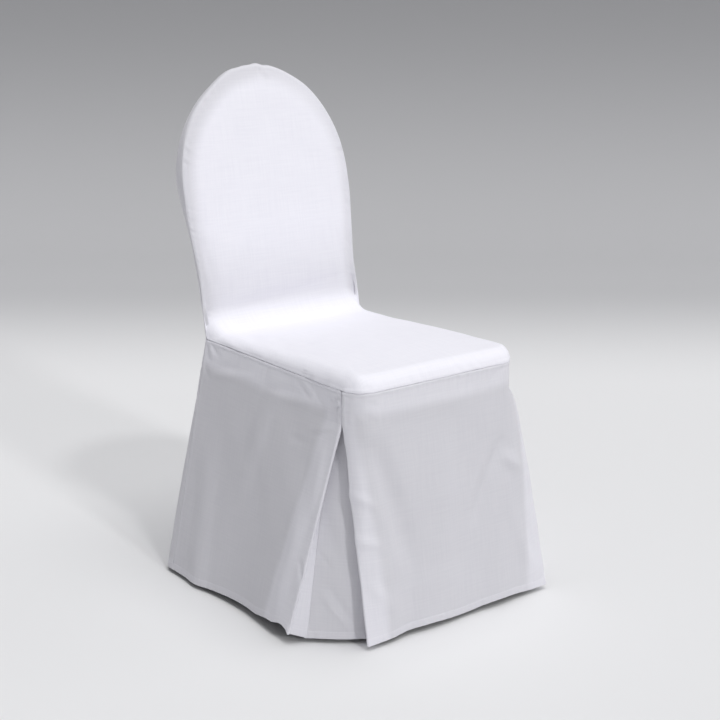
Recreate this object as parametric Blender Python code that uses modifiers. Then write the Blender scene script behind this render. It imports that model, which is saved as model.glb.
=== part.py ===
"""A fitted cloth cover for a banquet chair, standing in the shape that it takes when it is worn.

Metres, +Z up, +X to the right as seen from the front, and +Y towards the back of the seat. Every panel is
worked out from the floor under the hem, and the whole cover hangs from one empty, which puts the origin under
the top of the back, where the cover is held.
"""

import math
from collections import namedtuple

import bmesh
import bpy
import numpy as np

# Cloth
CLOTH = 0.0018
CLOTH_ROUGHNESS = 0.82
SEAM_GAP = 0.0006
REAR_SEAM_GAP = 0.0015
UNDERLAY_SEAM_GAP = 0.0008
FOLD_RADIUS = 0.0026
LEAST_FOLD_TURN = 0.3

# Seat, from its seam: the seam is the edge where the skirts are sewn on
SEAM_BACK_Z = 0.455
SEAM_FRONT_Z = 0.447
SEAT_HALF_BACK = 0.181
SEAT_HALF_FRONT = 0.1840
SEAT_FRONT_Y = -0.227
SEAT_CORNER = 0.040
SEAT_SHOULDER_IN = 0.024
SEAT_SHOULDER_FRONT_UP = 0.026
SEAT_SHOULDER_BACK_UP = 0.013
SEAT_CROWN = 0.009
SEAT_SIDE_BEND = 0.004
SEAT_MIDDLE_BEND = 0.055

# Back, a leaning oval whose sides draw in above the seat
BACK_LEAN = math.radians(10.7)
BACK_FOOT_Y = 0.219
BACK_FOOT_HALF = 0.181
BACK_HALF = 0.190
BACK_WIDENS_FROM_Z = 0.550
BACK_WIDENS_TO_Z = 0.700
BACK_OVAL_Z = 0.725
BACK_TOP_Z = 0.942
BACK_CUSHION = 0.006
BACK_CUSHION_IN = 0.030
BACK_CUSHION_RISE = 0.060

# The top edge rounds over: half way through the back, the cloth's inner side is this far under the very top
HOLD_UNDER_TOP = 0.006

# Pocket that the back of the chair fills, and the rear skirt below it
POCKET_DEPTH = 0.045
POCKET_ROUND = 0.034
POCKET_WALL = 2.3
POCKET_WALL_LOW = 1.35
POCKET_LOW_ROUND = 0.060
POCKET_TUCKED_Z = 0.610
POCKET_FULL_Z = 0.750
REAR_EDGE_HEM_Y = 0.247
REAR_DEPTH_HEM = 0.040
REAR_HALF_HEM = 0.256

# Skirts, and the share of each that follows the pleat beside it as that opens
HEM_Z = 0.009
PLEAT_TOP_Z = 0.390
CORNER_SEAM_Y = SEAT_FRONT_Y + SEAT_CORNER
POCKET_FOOT_Y = BACK_FOOT_Y + CLOTH + 2.0 * SEAM_GAP
SIDE_FOLLOWS_PLEAT = 0.45
FRONT_FOLLOWS_PLEAT = 0.25
BESIDE_FOLD = 0.015

# Rows and columns of each panel's grid
BACK_COLUMNS = 20
SHOULDER_ROWS, SEAT_ROWS, BEND_ROWS, BACK_ROWS = 5, 9, 6, 15
INSIDE_ROWS = SHOULDER_ROWS + SEAT_ROWS + BEND_ROWS + BACK_ROWS
REAR_SKIRT_ROWS, POCKET_ROWS = 9, 17
SIDE_FACE_COLUMNS, FRONT_FACE_COLUMNS, RETURN_COLUMNS, UNDERLAY_COLUMNS = 17, 24, 8, 8
SKIRT_ROWS = 11
# Powers that draw the rows together near the bend and near the seat seam, and the share of a return's columns
# that turns round its fold
BACK_ROWS_DRAWN = 1.1
SKIRT_ROWS_DRAWN = 1.15
FOLD_COLUMNS = 0.5

# A place along a hem (0 to 1) where it hangs a little higher, how far that reaches along it, and how much
Lift = namedtuple("Lift", "at half_width up")
LEFT_HEM_LIFTS = (Lift(0.95, 0.10, 0.010), Lift(0.88, 0.20, 0.012), Lift(0.62, 0.42, 0.006))
FRONT_HEM_LIFTS = (Lift(0.30, 0.22, 0.003), Lift(0.72, 0.20, 0.004))
RIGHT_HEM_LIFTS = (Lift(0.50, 0.35, 0.005),)
REAR_HEM_LIFTS = (Lift(0.30, 0.22, 0.004), Lift(0.74, 0.20, 0.003))

Plan = namedtuple("Plan", "x y")

# A front pleat, seen from above: where its two fold edges, and the seams of its underlay, end at the hem. A
# fold edge whose spring is under 1 swings sideways early, just below where the pleat is sewn shut.
Pleat = namedtuple("Pleat", "side_fold front_fold side_seam front_seam bow side_spring front_spring")
LEFT_PLEAT = Pleat(
    side_fold=Plan(-0.266, -0.138),
    front_fold=Plan(-0.172, -0.244),
    side_seam=Plan(-0.234, -0.152),
    front_seam=Plan(-0.139, -0.229),
    bow=0.005,
    side_spring=1.0,
    front_spring=1.0,
)
RIGHT_PLEAT = Pleat(
    side_fold=Plan(0.264, -0.176),
    front_fold=Plan(0.251, -0.249),
    side_seam=Plan(0.256, -0.141),
    front_seam=Plan(0.214, -0.232),
    bow=0.003,
    side_spring=0.35,
    front_spring=0.40,
)
SIDE_SEAM_TOP = Plan(0.1800, -0.154)
FRONT_SEAM_TOP = Plan(0.1640, -0.2050)

# A soft fold: its place along the panel (0 to 1) at the seam and at the hem, its half width along the panel,
# how far it stands out, where it is strongest between seam (0) and hem (1), and how far it reaches from there
Fold = namedtuple("Fold", "at_seam at_hem half_width out strongest reach")
LEFT_FOLDS = (
    Fold(0.45, 0.55, 0.40, -0.012, 1.00, 0.75),
    Fold(0.94, 0.86, 0.07, 0.004, 0.62, 0.50),
    Fold(0.12, 0.22, 0.10, 0.004, 0.80, 0.50),
    Fold(0.60, 0.30, 0.08, 0.003, 0.30, 0.30),
)
FRONT_FOLDS = (
    Fold(0.30, 0.22, 0.09, -0.004, 0.90, 0.60),
    Fold(0.96, 0.55, 0.10, -0.005, 0.35, 0.40),
    Fold(0.80, 0.72, 0.12, 0.004, 0.80, 0.60),
    Fold(0.45, 0.42, 0.12, 0.003, 0.70, 0.60),
)
RIGHT_FOLDS = (
    Fold(0.50, 0.48, 0.35, -0.010, 1.00, 0.75),
    Fold(0.30, 0.22, 0.10, 0.004, 0.80, 0.60),
    Fold(0.72, 0.76, 0.10, 0.004, 0.70, 0.60),
)
REAR_FOLDS = (
    Fold(0.50, 0.50, 0.30, 0.008, 1.00, 0.60),
    Fold(0.26, 0.22, 0.12, -0.006, 1.00, 0.60),
    Fold(0.76, 0.80, 0.12, -0.006, 1.00, 0.60),
)

WHITE_POLYESTER = (0.86, 0.855, 0.91, 1.0)
SHADED_POLYESTER = (0.70, 0.695, 0.75, 1.0)


def smooth(t):
    """0 below 0, 1 above 1, with no corner between."""
    t = min(max(t, 0.0), 1.0)
    return t * t * (3.0 - 2.0 * t)


def blend(a, b, t):
    return a + (b - a) * t


def rounded(t, power=2.0):
    """The rise of a rounded edge: steep at 0, level from 1 on."""
    return (1.0 - (1.0 - min(max(t, 0.0), 1.0)) ** power) ** (1.0 / power)


def hump(t):
    """A soft ridge of height 1 at 0, gone at -1 and 1."""
    return (1.0 - t * t) ** 2 if abs(t) < 1.0 else 0.0


def folded_out(folds, along, down):
    """How far a panel's soft folds stand out, along it (0 to 1) and down it (0 at the seam, 1 at the hem)."""
    out = 0.0
    for fold in folds:
        centre = blend(fold.at_seam, fold.at_hem, down)
        across = hump((along - centre) / fold.half_width)
        out += fold.out * across * hump((down - fold.strongest) / fold.reach)
    return out


def hem_z(lifts, along):
    """Height of a panel's hem at a place along it."""
    return HEM_Z + sum(lift.up * hump((along - lift.at) / lift.half_width) for lift in lifts)


def toward_edges(t):
    """A place from -1 to 1 across a panel, with the grid closer together near both edges."""
    return math.sin((t - 0.5) * math.pi)


def seam_z(y):
    """Height of the seat seam at a depth y."""
    return blend(SEAM_FRONT_Z, SEAM_BACK_Z, (y - SEAT_FRONT_Y) / (BACK_FOOT_Y - SEAT_FRONT_Y))


def seat_half(y):
    """Half the seat's width, from the middle to the side seam, at a depth y."""
    t = (y - SEAT_FRONT_Y) / (BACK_FOOT_Y - SEAT_FRONT_Y)
    return blend(SEAT_HALF_FRONT, SEAT_HALF_BACK, smooth(t))


def seat_front(x):
    """Depth y of the front seam at x, which turns round each front corner."""
    past = abs(x) - (SEAT_HALF_FRONT - SEAT_CORNER)
    if past <= 0.0:
        return SEAT_FRONT_Y
    return SEAT_FRONT_Y + SEAT_CORNER - math.sqrt(max(SEAT_CORNER**2 - past**2, 0.0))


def back_half(z):
    """Half the width of the back's outline at a height z, up to where the oval starts."""
    t = (z - BACK_WIDENS_FROM_Z) / (BACK_WIDENS_TO_Z - BACK_WIDENS_FROM_Z)
    return blend(BACK_FOOT_HALF, BACK_HALF, smooth(t))


def back_top(across):
    """Height of the back's oval top at a place from -1 to 1 across it."""
    return BACK_OVAL_Z + (BACK_TOP_Z - BACK_OVAL_Z) * math.sqrt(max(1.0 - across**2, 0.0))


def back_y(z):
    """Depth y of the leaning back seam at a height z."""
    return BACK_FOOT_Y + (z - SEAM_BACK_Z) * math.tan(BACK_LEAN)


def inside_outline(x, z):
    """Distance inward from the back's outline."""
    if z > BACK_OVAL_Z:
        out = math.hypot(x / BACK_HALF, (z - BACK_OVAL_Z) / (BACK_TOP_Z - BACK_OVAL_Z))
        return (1.0 - out) * BACK_HALF
    return back_half(z) - abs(x)


def inside_back_and_seat(across, up):
    """A point of the one panel that runs over the seat, round the bend and up the inside of the back."""
    u = toward_edges(across)
    row = up * INSIDE_ROWS
    edge_in = (1.0 - abs(u)) * SEAT_HALF_FRONT
    rise = rounded(edge_in / SEAT_SHOULDER_IN)
    front_y = seat_front(u * SEAT_HALF_FRONT)
    bend = blend(SEAT_SIDE_BEND, SEAT_MIDDLE_BEND, rise)
    turn = math.pi / 2.0 - BACK_LEAN
    bend_from_y = back_y(SEAM_BACK_Z + SEAT_SHOULDER_BACK_UP * rise) - bend * math.tan(turn / 2.0)
    level = seam_z(bend_from_y) + SEAT_SHOULDER_BACK_UP * rise
    bend_to_z = level + bend * (1.0 - math.sin(BACK_LEAN))

    if row <= SHOULDER_ROWS:
        angle = row / SHOULDER_ROWS * math.pi / 2.0
        y = front_y + SEAT_SHOULDER_IN * (1.0 - math.cos(angle))
        return u * seat_half(y), y, seam_z(y) + SEAT_SHOULDER_FRONT_UP * rise * math.sin(angle)
    row -= SHOULDER_ROWS
    if row <= SEAT_ROWS:
        t = row / SEAT_ROWS
        y = blend(front_y + SEAT_SHOULDER_IN, bend_from_y, t)
        up = blend(SEAT_SHOULDER_FRONT_UP, SEAT_SHOULDER_BACK_UP, smooth(t))
        crown = SEAT_CROWN * (1.0 - u * u) * math.sin(math.pi * t)
        return u * seat_half(y), y, seam_z(y) + (up + crown) * rise
    row -= SEAT_ROWS
    if row <= BEND_ROWS:
        angle = -math.pi / 2.0 + turn * row / BEND_ROWS
        y = bend_from_y + bend * math.cos(angle)
        return u * seat_half(y), y, level + bend + bend * math.sin(angle)
    t = (row - BEND_ROWS) / BACK_ROWS
    z = blend(bend_to_z, back_top(u), math.sin(t * math.pi / 2.0) ** BACK_ROWS_DRAWN)
    x = u * back_half(z)
    puff = BACK_CUSHION * rounded(inside_outline(x, z) / BACK_CUSHION_IN)
    puff *= smooth((z - bend_to_z) / BACK_CUSHION_RISE)
    return x, back_y(z) - puff, z


def outside_back(across, up):
    """A point of the one panel that covers the rear, from the hem to the oval top, and wraps its sides."""
    u = toward_edges(across)
    row = up * (REAR_SKIRT_ROWS + POCKET_ROWS)
    if row <= REAR_SKIRT_ROWS:
        t = row / REAR_SKIRT_ROWS
        z = blend(hem_z(REAR_HEM_LIFTS, (u + 1.0) / 2.0), SEAM_BACK_Z, t)
        full = smooth(1.0 - t)
        half = blend(REAR_HALF_HEM, SEAT_HALF_BACK, t)
        edge_y = blend(REAR_EDGE_HEM_Y, POCKET_FOOT_Y, t)
        depth = blend(REAR_DEPTH_HEM, POCKET_DEPTH, t)
        depth += folded_out(REAR_FOLDS, (u + 1.0) / 2.0, 1.0 - t)
        inward = (1.0 - abs(u)) * half
        x = u * half
    else:
        t = (row - REAR_SKIRT_ROWS) / POCKET_ROWS
        z = blend(SEAM_BACK_Z, back_top(u), math.sin(t * math.pi / 2.0))
        x = u * back_half(z)
        edge_y = back_y(z) + POCKET_FOOT_Y - BACK_FOOT_Y
        depth = POCKET_DEPTH
        inward = inside_outline(x, z)
        full = smooth((z - POCKET_TUCKED_Z) / (POCKET_FULL_Z - POCKET_TUCKED_Z))
    wall = blend(POCKET_WALL_LOW, POCKET_WALL, full)
    turn = blend(POCKET_LOW_ROUND, POCKET_ROUND, full)
    return x, edge_y + depth * rounded(inward / turn, wall), z


def pleat_opening(z):
    """How far a front pleat has opened at a height z: 0 where it is sewn shut, 1 at the hem."""
    return min(max((PLEAT_TOP_Z - z) / (PLEAT_TOP_Z - HEM_Z), 0.0), 1.0)


def mirrored(point, side):
    return Plan(point.x * side, point.y)


def pleat_seam(at_top, at_hem, side, opening):
    """A plan point of a seam behind a pleat. at_top is where it starts, on the right of the cover."""
    top = mirrored(at_top, side)
    return Plan(blend(top.x, at_hem.x, opening), blend(top.y, at_hem.y, opening))


def folded_edge(face, fold, seam, share, inward):
    """A point round a fold edge and along the return behind it.

    face is the plan point before the fold, fold is the fold edge and seam is where the return ends. inward is
    +1 where the cover's inside is to the left of the way from face to fold, and -1 where it is to the right.
    """
    ahead = np.array([fold.x - face.x, fold.y - face.y])
    ahead /= np.linalg.norm(ahead)
    inside = inward * np.array([-ahead[1], ahead[0]])
    centre = np.array([fold.x, fold.y]) - FOLD_RADIUS * ahead + FOLD_RADIUS * inside
    end = np.array([seam.x, seam.y])
    way = end - centre
    reach = np.linalg.norm(way)
    heading = math.atan2(way @ inside, way @ ahead)
    turned = heading + math.acos(min(FOLD_RADIUS / reach, 1.0))
    turn = min(max(turned, LEAST_FOLD_TURN), math.pi)
    if share < FOLD_COLUMNS:
        angle = turn * share / FOLD_COLUMNS
        return centre + FOLD_RADIUS * (math.sin(angle) * ahead - math.cos(angle) * inside)
    leave = centre + FOLD_RADIUS * (math.sin(turn) * ahead - math.cos(turn) * inside)
    return blend(leave, end, (share - FOLD_COLUMNS) / (1.0 - FOLD_COLUMNS))


def level_z(down, top_z, bottom_z):
    """Height of a skirt row: closer together near the seam, where the pleats close."""
    return blend(top_z - SEAM_GAP, bottom_z, down**SKIRT_ROWS_DRAWN)


def side_face(along, down, side, pleat, folds, lifts):
    """A plan point on a side skirt's face and its height, from the rear seam (0) to the fold edge (1)."""
    top_y = blend(POCKET_FOOT_Y - REAR_SEAM_GAP, CORNER_SEAM_Y + SEAM_GAP, along)
    z = level_z(down, seam_z(top_y), hem_z(lifts, along))
    flare = (seam_z(top_y) - z) / (seam_z(top_y) - HEM_Z)
    opening = pleat_opening(z)
    near_fold = smooth(1.0 - (1.0 - along) / SIDE_FOLLOWS_PLEAT)
    spread = blend(flare, opening, near_fold)
    sideways = blend(flare, opening**pleat.side_spring, near_fold)
    hem_x = blend(REAR_HALF_HEM, abs(pleat.side_fold.x), along)
    hem_y = blend(REAR_EDGE_HEM_Y - REAR_SEAM_GAP, pleat.side_fold.y, along)
    x = blend(seat_half(top_y), hem_x, sideways) + folded_out(folds, along, down)
    return Plan(side * x, blend(top_y, hem_y, spread)), z


def side_skirt(side, pleat, folds, lifts):
    """The surface of the left (-1) or right (+1) skirt, with its front edge folded under."""

    def place(across, down):
        column = across * (SIDE_FACE_COLUMNS + RETURN_COLUMNS)
        if column <= SIDE_FACE_COLUMNS:
            last = 1.0 - FOLD_RADIUS / abs(pleat.side_fold.y - REAR_EDGE_HEM_Y)
            plan, z = side_face(last * column / SIDE_FACE_COLUMNS, down, side, pleat, folds, lifts)
            return plan.x, plan.y, z
        share = (column - SIDE_FACE_COLUMNS) / RETURN_COLUMNS
        before, _ = side_face(1.0 - BESIDE_FOLD, down, side, pleat, folds, lifts)
        fold, z = side_face(1.0, down, side, pleat, folds, lifts)
        seam = pleat_seam(SIDE_SEAM_TOP, pleat.side_seam, side, pleat_opening(z))
        x, y = folded_edge(before, fold, seam, share, -side)
        return x, y, z

    return place


def front_edge(along):
    """A plan point on the front seam, round both corners, from the left corner (0) to the right one (1)."""
    straight = SEAT_HALF_FRONT - SEAT_CORNER
    corner = math.pi / 2.0 * SEAT_CORNER
    travelled = (along - 0.5) * 2.0 * (straight + corner - SEAM_GAP)
    side = -1.0 if travelled < 0.0 else 1.0
    past = abs(travelled) - straight
    if past <= 0.0:
        return Plan(travelled, SEAT_FRONT_Y)
    angle = past / SEAT_CORNER
    x = straight + SEAT_CORNER * math.sin(angle)
    y = SEAT_FRONT_Y + SEAT_CORNER * (1.0 - math.cos(angle))
    return Plan(side * x, y)


def front_face(along, down):
    """A plan point on the front skirt's face and its height, from the left fold edge (0) to the right (1)."""
    top = front_edge(along)
    z = level_z(down, seam_z(top.y), hem_z(FRONT_HEM_LIFTS, along))
    flare = (seam_z(top.y) - z) / (seam_z(top.y) - HEM_Z)
    near_fold = smooth(1.0 - (0.5 - abs(along - 0.5)) / FRONT_FOLLOWS_PLEAT)
    opening = pleat_opening(z)
    pleat = LEFT_PLEAT if along < 0.5 else RIGHT_PLEAT
    spread = blend(flare, opening, near_fold)
    sideways = blend(flare, opening**pleat.front_spring, near_fold)
    hem_x = blend(LEFT_PLEAT.front_fold.x, RIGHT_PLEAT.front_fold.x, along)
    hem_y = blend(LEFT_PLEAT.front_fold.y, RIGHT_PLEAT.front_fold.y, along)
    out = folded_out(FRONT_FOLDS, along, down)
    return Plan(blend(top.x, hem_x, sideways), blend(top.y, hem_y, spread) - out), z


def front_skirt(across, down):
    """A point of the front skirt, with both its ends folded under."""
    column = across * (FRONT_FACE_COLUMNS + 2 * RETURN_COLUMNS) - RETURN_COLUMNS
    trim = FOLD_RADIUS / abs(RIGHT_PLEAT.front_fold.x - LEFT_PLEAT.front_fold.x)
    if 0.0 <= column <= FRONT_FACE_COLUMNS:
        along = blend(trim, 1.0 - trim, column / FRONT_FACE_COLUMNS)
        plan, z = front_face(along, down)
        return plan.x, plan.y, z
    if column < 0.0:
        side, pleat, end, beside, share = -1.0, LEFT_PLEAT, 0.0, BESIDE_FOLD, -column / RETURN_COLUMNS
    else:
        side, pleat, end, beside = 1.0, RIGHT_PLEAT, 1.0, 1.0 - BESIDE_FOLD
        share = (column - FRONT_FACE_COLUMNS) / RETURN_COLUMNS
    before, _ = front_face(beside, down)
    fold, z = front_face(end, down)
    seam = pleat_seam(FRONT_SEAM_TOP, pleat.front_seam, side, pleat_opening(z))
    x, y = folded_edge(before, fold, seam, share, side)
    return x, y, z


def underlay(side, pleat):
    """The surface of a pleat's underlay, from its seam behind the side skirt to the one behind the front."""

    def place(across, down):
        z = level_z(down, SEAM_FRONT_Z, HEM_Z)
        opening = pleat_opening(z)
        start = np.array(pleat_seam(SIDE_SEAM_TOP, pleat.side_seam, side, opening))
        end = np.array(pleat_seam(FRONT_SEAM_TOP, pleat.front_seam, side, opening))
        way = (end - start) / np.linalg.norm(end - start)
        inside = np.array([-way[1], way[0]]) * -side
        bowed_out = pleat.bow * opening * hump(2.0 * across - 1.0)
        x, y = blend(start, end, across) + inside * (UNDERLAY_SEAM_GAP - bowed_out)
        return x, y, z

    return place


def cloth_material(name, colour):
    material = bpy.data.materials.new(name)
    material.use_nodes = True
    shader = material.node_tree.nodes["Principled BSDF"]
    shader.inputs["Base Color"].default_value = colour
    shader.inputs["Roughness"].default_value = CLOTH_ROUGHNESS
    shader.inputs["Metallic"].default_value = 0.0
    material.diffuse_color = colour
    return material


def sheet(name, place, columns, rows, colour, outward, collection, parent):
    """A sheet of cloth: a grid laid on a surface, then given its thickness on the inner side.

    place(across, up) gives a point for two numbers from 0 to 1. outward is the way out of the cover at the
    middle of the sheet.
    """
    shape = bmesh.new()
    bmesh.ops.create_grid(shape, x_segments=columns, y_segments=rows, size=0.5)
    for vertex in shape.verts:
        across = round((vertex.co.x + 0.5) * columns) / columns
        up = round((vertex.co.y + 0.5) * rows) / rows
        vertex.co = place(across, up)
    shape.normal_update()
    middle = min(shape.faces, key=lambda face: abs(face.index - columns * (rows // 2) - columns // 2))
    if middle.normal.dot(outward) < 0.0:
        bmesh.ops.reverse_faces(shape, faces=shape.faces)
    mesh = bpy.data.meshes.new(name)
    shape.to_mesh(mesh)
    shape.free()
    mesh.shade_smooth()
    mesh.materials.append(cloth_material(name, colour))
    panel = bpy.data.objects.new(name, mesh)
    collection.objects.link(panel)
    panel.parent = parent
    thickness = panel.modifiers.new("Cloth thickness", "SOLIDIFY")
    thickness.thickness = CLOTH
    thickness.offset = -1.0
    return panel


def main():
    for old in list(bpy.data.objects):
        bpy.data.objects.remove(old, do_unlink=True)
    cover = bpy.data.collections.new("chair_cover")
    bpy.context.scene.collection.children.link(cover)

    held = bpy.data.objects.new("held_at_back_top", None)
    hold_z = BACK_TOP_Z - HOLD_UNDER_TOP
    held.location = (0.0, -(back_y(hold_z) + POCKET_DEPTH / 2.0), -hold_z)
    cover.objects.link(held)

    def add(name, place, columns, rows, outward, colour=WHITE_POLYESTER):
        return sheet(name, place, columns, rows, colour, outward, cover, held)

    add("inside_back_and_seat", inside_back_and_seat, BACK_COLUMNS, INSIDE_ROWS, (0.0, -0.5, 0.8))
    add("outside_back", outside_back, BACK_COLUMNS, REAR_SKIRT_ROWS + POCKET_ROWS, (0.0, 1.0, 0.0))
    front_columns = FRONT_FACE_COLUMNS + 2 * RETURN_COLUMNS
    add("front_skirt", front_skirt, front_columns, SKIRT_ROWS, (0.0, -1.0, 0.1))
    side_columns = SIDE_FACE_COLUMNS + RETURN_COLUMNS
    sides = (
        ("left", -1.0, LEFT_PLEAT, LEFT_FOLDS, LEFT_HEM_LIFTS),
        ("right", 1.0, RIGHT_PLEAT, RIGHT_FOLDS, RIGHT_HEM_LIFTS),
    )
    for name, side, pleat, folds, lifts in sides:
        skirt = side_skirt(side, pleat, folds, lifts)
        add(name + "_skirt", skirt, side_columns, SKIRT_ROWS, (side, 0.0, 0.2))
        under = underlay(side, pleat)
        outward = (side, -0.8, 0.0)
        add(name + "_pleat_underlay", under, UNDERLAY_COLUMNS, SKIRT_ROWS, outward, SHADED_POLYESTER)


if __name__ == "__main__":
    main()
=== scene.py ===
"""The looks of a fitted cloth cover for a banquet chair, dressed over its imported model.

Each panel is worked out above the floor under its hem, in metres, with +X to the right as seen from the
front, +Y towards the rear and +Z up. It is then moved to the frame of the model, whose origin is under the
top of the back.
"""

import logging
import math
from dataclasses import dataclass
from enum import Enum
from typing import Optional, Sequence

import bmesh
import bpy
import numpy as np
from mathutils import Matrix, Vector


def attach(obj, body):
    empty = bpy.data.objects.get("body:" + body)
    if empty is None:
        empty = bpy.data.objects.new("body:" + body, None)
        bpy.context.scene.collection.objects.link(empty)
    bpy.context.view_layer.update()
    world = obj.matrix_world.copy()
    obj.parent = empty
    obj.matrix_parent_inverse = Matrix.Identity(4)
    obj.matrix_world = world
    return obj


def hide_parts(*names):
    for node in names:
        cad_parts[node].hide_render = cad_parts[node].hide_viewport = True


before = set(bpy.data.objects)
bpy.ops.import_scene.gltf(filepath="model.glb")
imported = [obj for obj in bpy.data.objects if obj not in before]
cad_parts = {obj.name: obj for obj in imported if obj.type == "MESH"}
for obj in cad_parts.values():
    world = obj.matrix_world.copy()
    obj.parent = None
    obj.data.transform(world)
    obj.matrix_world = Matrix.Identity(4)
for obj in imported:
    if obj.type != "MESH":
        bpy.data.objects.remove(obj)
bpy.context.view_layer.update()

LOG = logging.getLogger("chair_cover")
BODY = "root"
MM = 0.001

# How many waves make up an uneven line or surface, and the range of their lengths in pitches.
LINE_WAVES = 6
LINE_LENGTHS = (0.6, 2.0)
SURFACE_WAVES = 12
SURFACE_LENGTHS = (0.7, 2.2)

# What is added to a panel's seed, so that each kind of unevenness is drawn for itself.
GATHERED_DRAW = 3
REAR_DRAW = 5
FINE_DRAW = 7
SEAT_DRAW = 11
HEM_DRAW = 20
CORNER_DRAW = 31

# The radians that a wave node turns by in each unit, and the mix node's two colours and its result.
WAVE_RADIANS = 20.0
FIRST_COLOUR = "6"
SECOND_COLOUR = "7"
MIXED_COLOUR = 2


class Side(Enum):
    """The left and the right of the cover, as seen from the front, and the sign of x there."""

    LEFT = -1.0
    RIGHT = 1.0


class Hold(Enum):
    HUNG = "hung"
    STRETCHED = "stretched"


def smooth(t: np.ndarray) -> np.ndarray:
    """0 below 0, 1 above 1, with no corner between."""
    t = np.clip(t, 0.0, 1.0)
    return t * t * (3.0 - 2.0 * t)


def past_edge(past: np.ndarray, width: float) -> np.ndarray:
    """0 before an edge and 1 past it, changing softly over a width across it."""
    return smooth(past / width + 0.5)


def blend(a: np.ndarray, b: np.ndarray, t: np.ndarray) -> np.ndarray:
    """a where t is 0, b where t is 1, and in proportion between."""
    return a + (b - a) * t


def rounded(t: np.ndarray, power: float = 2.0) -> np.ndarray:
    """The rise of a rounded edge: steep at 0, level from 1 on."""
    return (1.0 - (1.0 - np.clip(t, 0.0, 1.0)) ** power) ** (1.0 / power)


def hump(t: np.ndarray) -> np.ndarray:
    """A soft ridge of height 1 at 0, gone at -1 and 1."""
    return np.clip(1.0 - np.asarray(t, dtype=float) ** 2, 0.0, None) ** 2


def bell(t: np.ndarray) -> np.ndarray:
    """A ridge of height 1 at 0 that fades without an end."""
    return np.exp(-np.asarray(t, dtype=float) ** 2)


def normalised(vectors: np.ndarray) -> np.ndarray:
    """The same directions at length 1."""
    return vectors / np.maximum(np.linalg.norm(vectors, axis=-1, keepdims=True), 1e-12)


def wobble(place: np.ndarray, pitch: float, seed: int) -> np.ndarray:
    """An uneven wave along a line.

    Args:
        place: metres along the line.
        pitch: its usual wavelength in metres.
        seed: which of the many such waves.

    Returns:
        Heights of about -1 to 1.
    """
    draw = np.random.default_rng(seed)
    lengths = pitch * draw.uniform(*LINE_LENGTHS, LINE_WAVES)
    starts = draw.uniform(0.0, 2.0 * math.pi, LINE_WAVES)
    total = sum(np.sin(2.0 * math.pi * place / length + start) for length, start in zip(lengths, starts))
    return total / math.sqrt(LINE_WAVES)


def unevenness(across: np.ndarray, down: np.ndarray, pitch: float, seed: int) -> np.ndarray:
    """A soft uneven surface.

    Args:
        across: metres across it.
        down: metres down it.
        pitch: the usual size of its bumps in metres, in every direction.
        seed: which of the many such surfaces.

    Returns:
        Heights of about -1 to 1.
    """
    draw = np.random.default_rng(seed)
    total = np.zeros_like(across)
    for _ in range(SURFACE_WAVES):
        length = pitch * draw.uniform(*SURFACE_LENGTHS)
        heading = draw.uniform(0.0, math.pi)
        start = draw.uniform(0.0, 2.0 * math.pi)
        along = across * math.cos(heading) + down * math.sin(heading)
        total += np.sin(2.0 * math.pi * along / length + start)
    return total / math.sqrt(SURFACE_WAVES)


@dataclass(frozen=True)
class Plan:
    """A point seen from above."""

    x: float
    y: float

    def mirrored(self, side: Side) -> "Plan":
        """The same point on that side of the cover."""
        return Plan(self.x * side.value, self.y)


@dataclass(frozen=True)
class Lift:
    """A place along an edge where it is a little higher, how far that reaches, and by how much."""

    at: float
    half_width: float
    up: float


@dataclass(frozen=True)
class Fold:
    """A soft fold of a skirt.

    It runs from a place along the seam to one along the hem and stands out by out. It is strongest at one
    height between the seam (0) and the hem (1), from where it reaches up and down.
    """

    at_seam: float
    at_hem: float
    half_width: float
    out: float
    strongest: float
    reach: float


@dataclass(frozen=True)
class Crease:
    """A soft ridge, or a trough where its height is below 0, that fades towards both its ends.

    It curves through three points, which are measured in the two directions that its panel names.
    """

    start: tuple[float, float]
    middle: tuple[float, float]
    end: tuple[float, float]
    width: float
    height: float
    steps: int = 10
    fullness: float = 0.8

    def field(self, across: np.ndarray, up: np.ndarray) -> np.ndarray:
        """The height that the crease adds at each place.

        Args:
            across: the places in the first direction, in metres.
            up: the places in the second direction, in metres.

        Returns:
            The heights.
        """
        start, middle, end = (np.array(point) for point in (self.start, self.middle, self.end))
        pull = 2.0 * middle - (start + end) / 2.0
        shares = np.linspace(0.0, 1.0, self.steps + 1)[:, None]
        line = (1.0 - shares) ** 2 * start + 2.0 * shares * (1.0 - shares) * pull + shares**2 * end
        nearest = np.full(across.shape, np.inf)
        along = np.zeros(across.shape)
        for step in range(self.steps):
            run = line[step + 1] - line[step]
            from_x = across - line[step, 0]
            from_y = up - line[step, 1]
            share = np.clip((from_x * run[0] + from_y * run[1]) / (run @ run), 0.0, 1.0)
            distance = np.hypot(from_x - share * run[0], from_y - share * run[1])
            closer = distance < nearest
            nearest = np.where(closer, distance, nearest)
            along = np.where(closer, (step + share) / self.steps, along)
        return self.height * np.sin(math.pi * along) ** self.fullness * bell(nearest / self.width)


@dataclass(frozen=True)
class Ridge:
    """A small ridge, or a trough where its height is below 0, that runs at a distance beside a seam."""

    height: float
    away: float
    width: float


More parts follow.
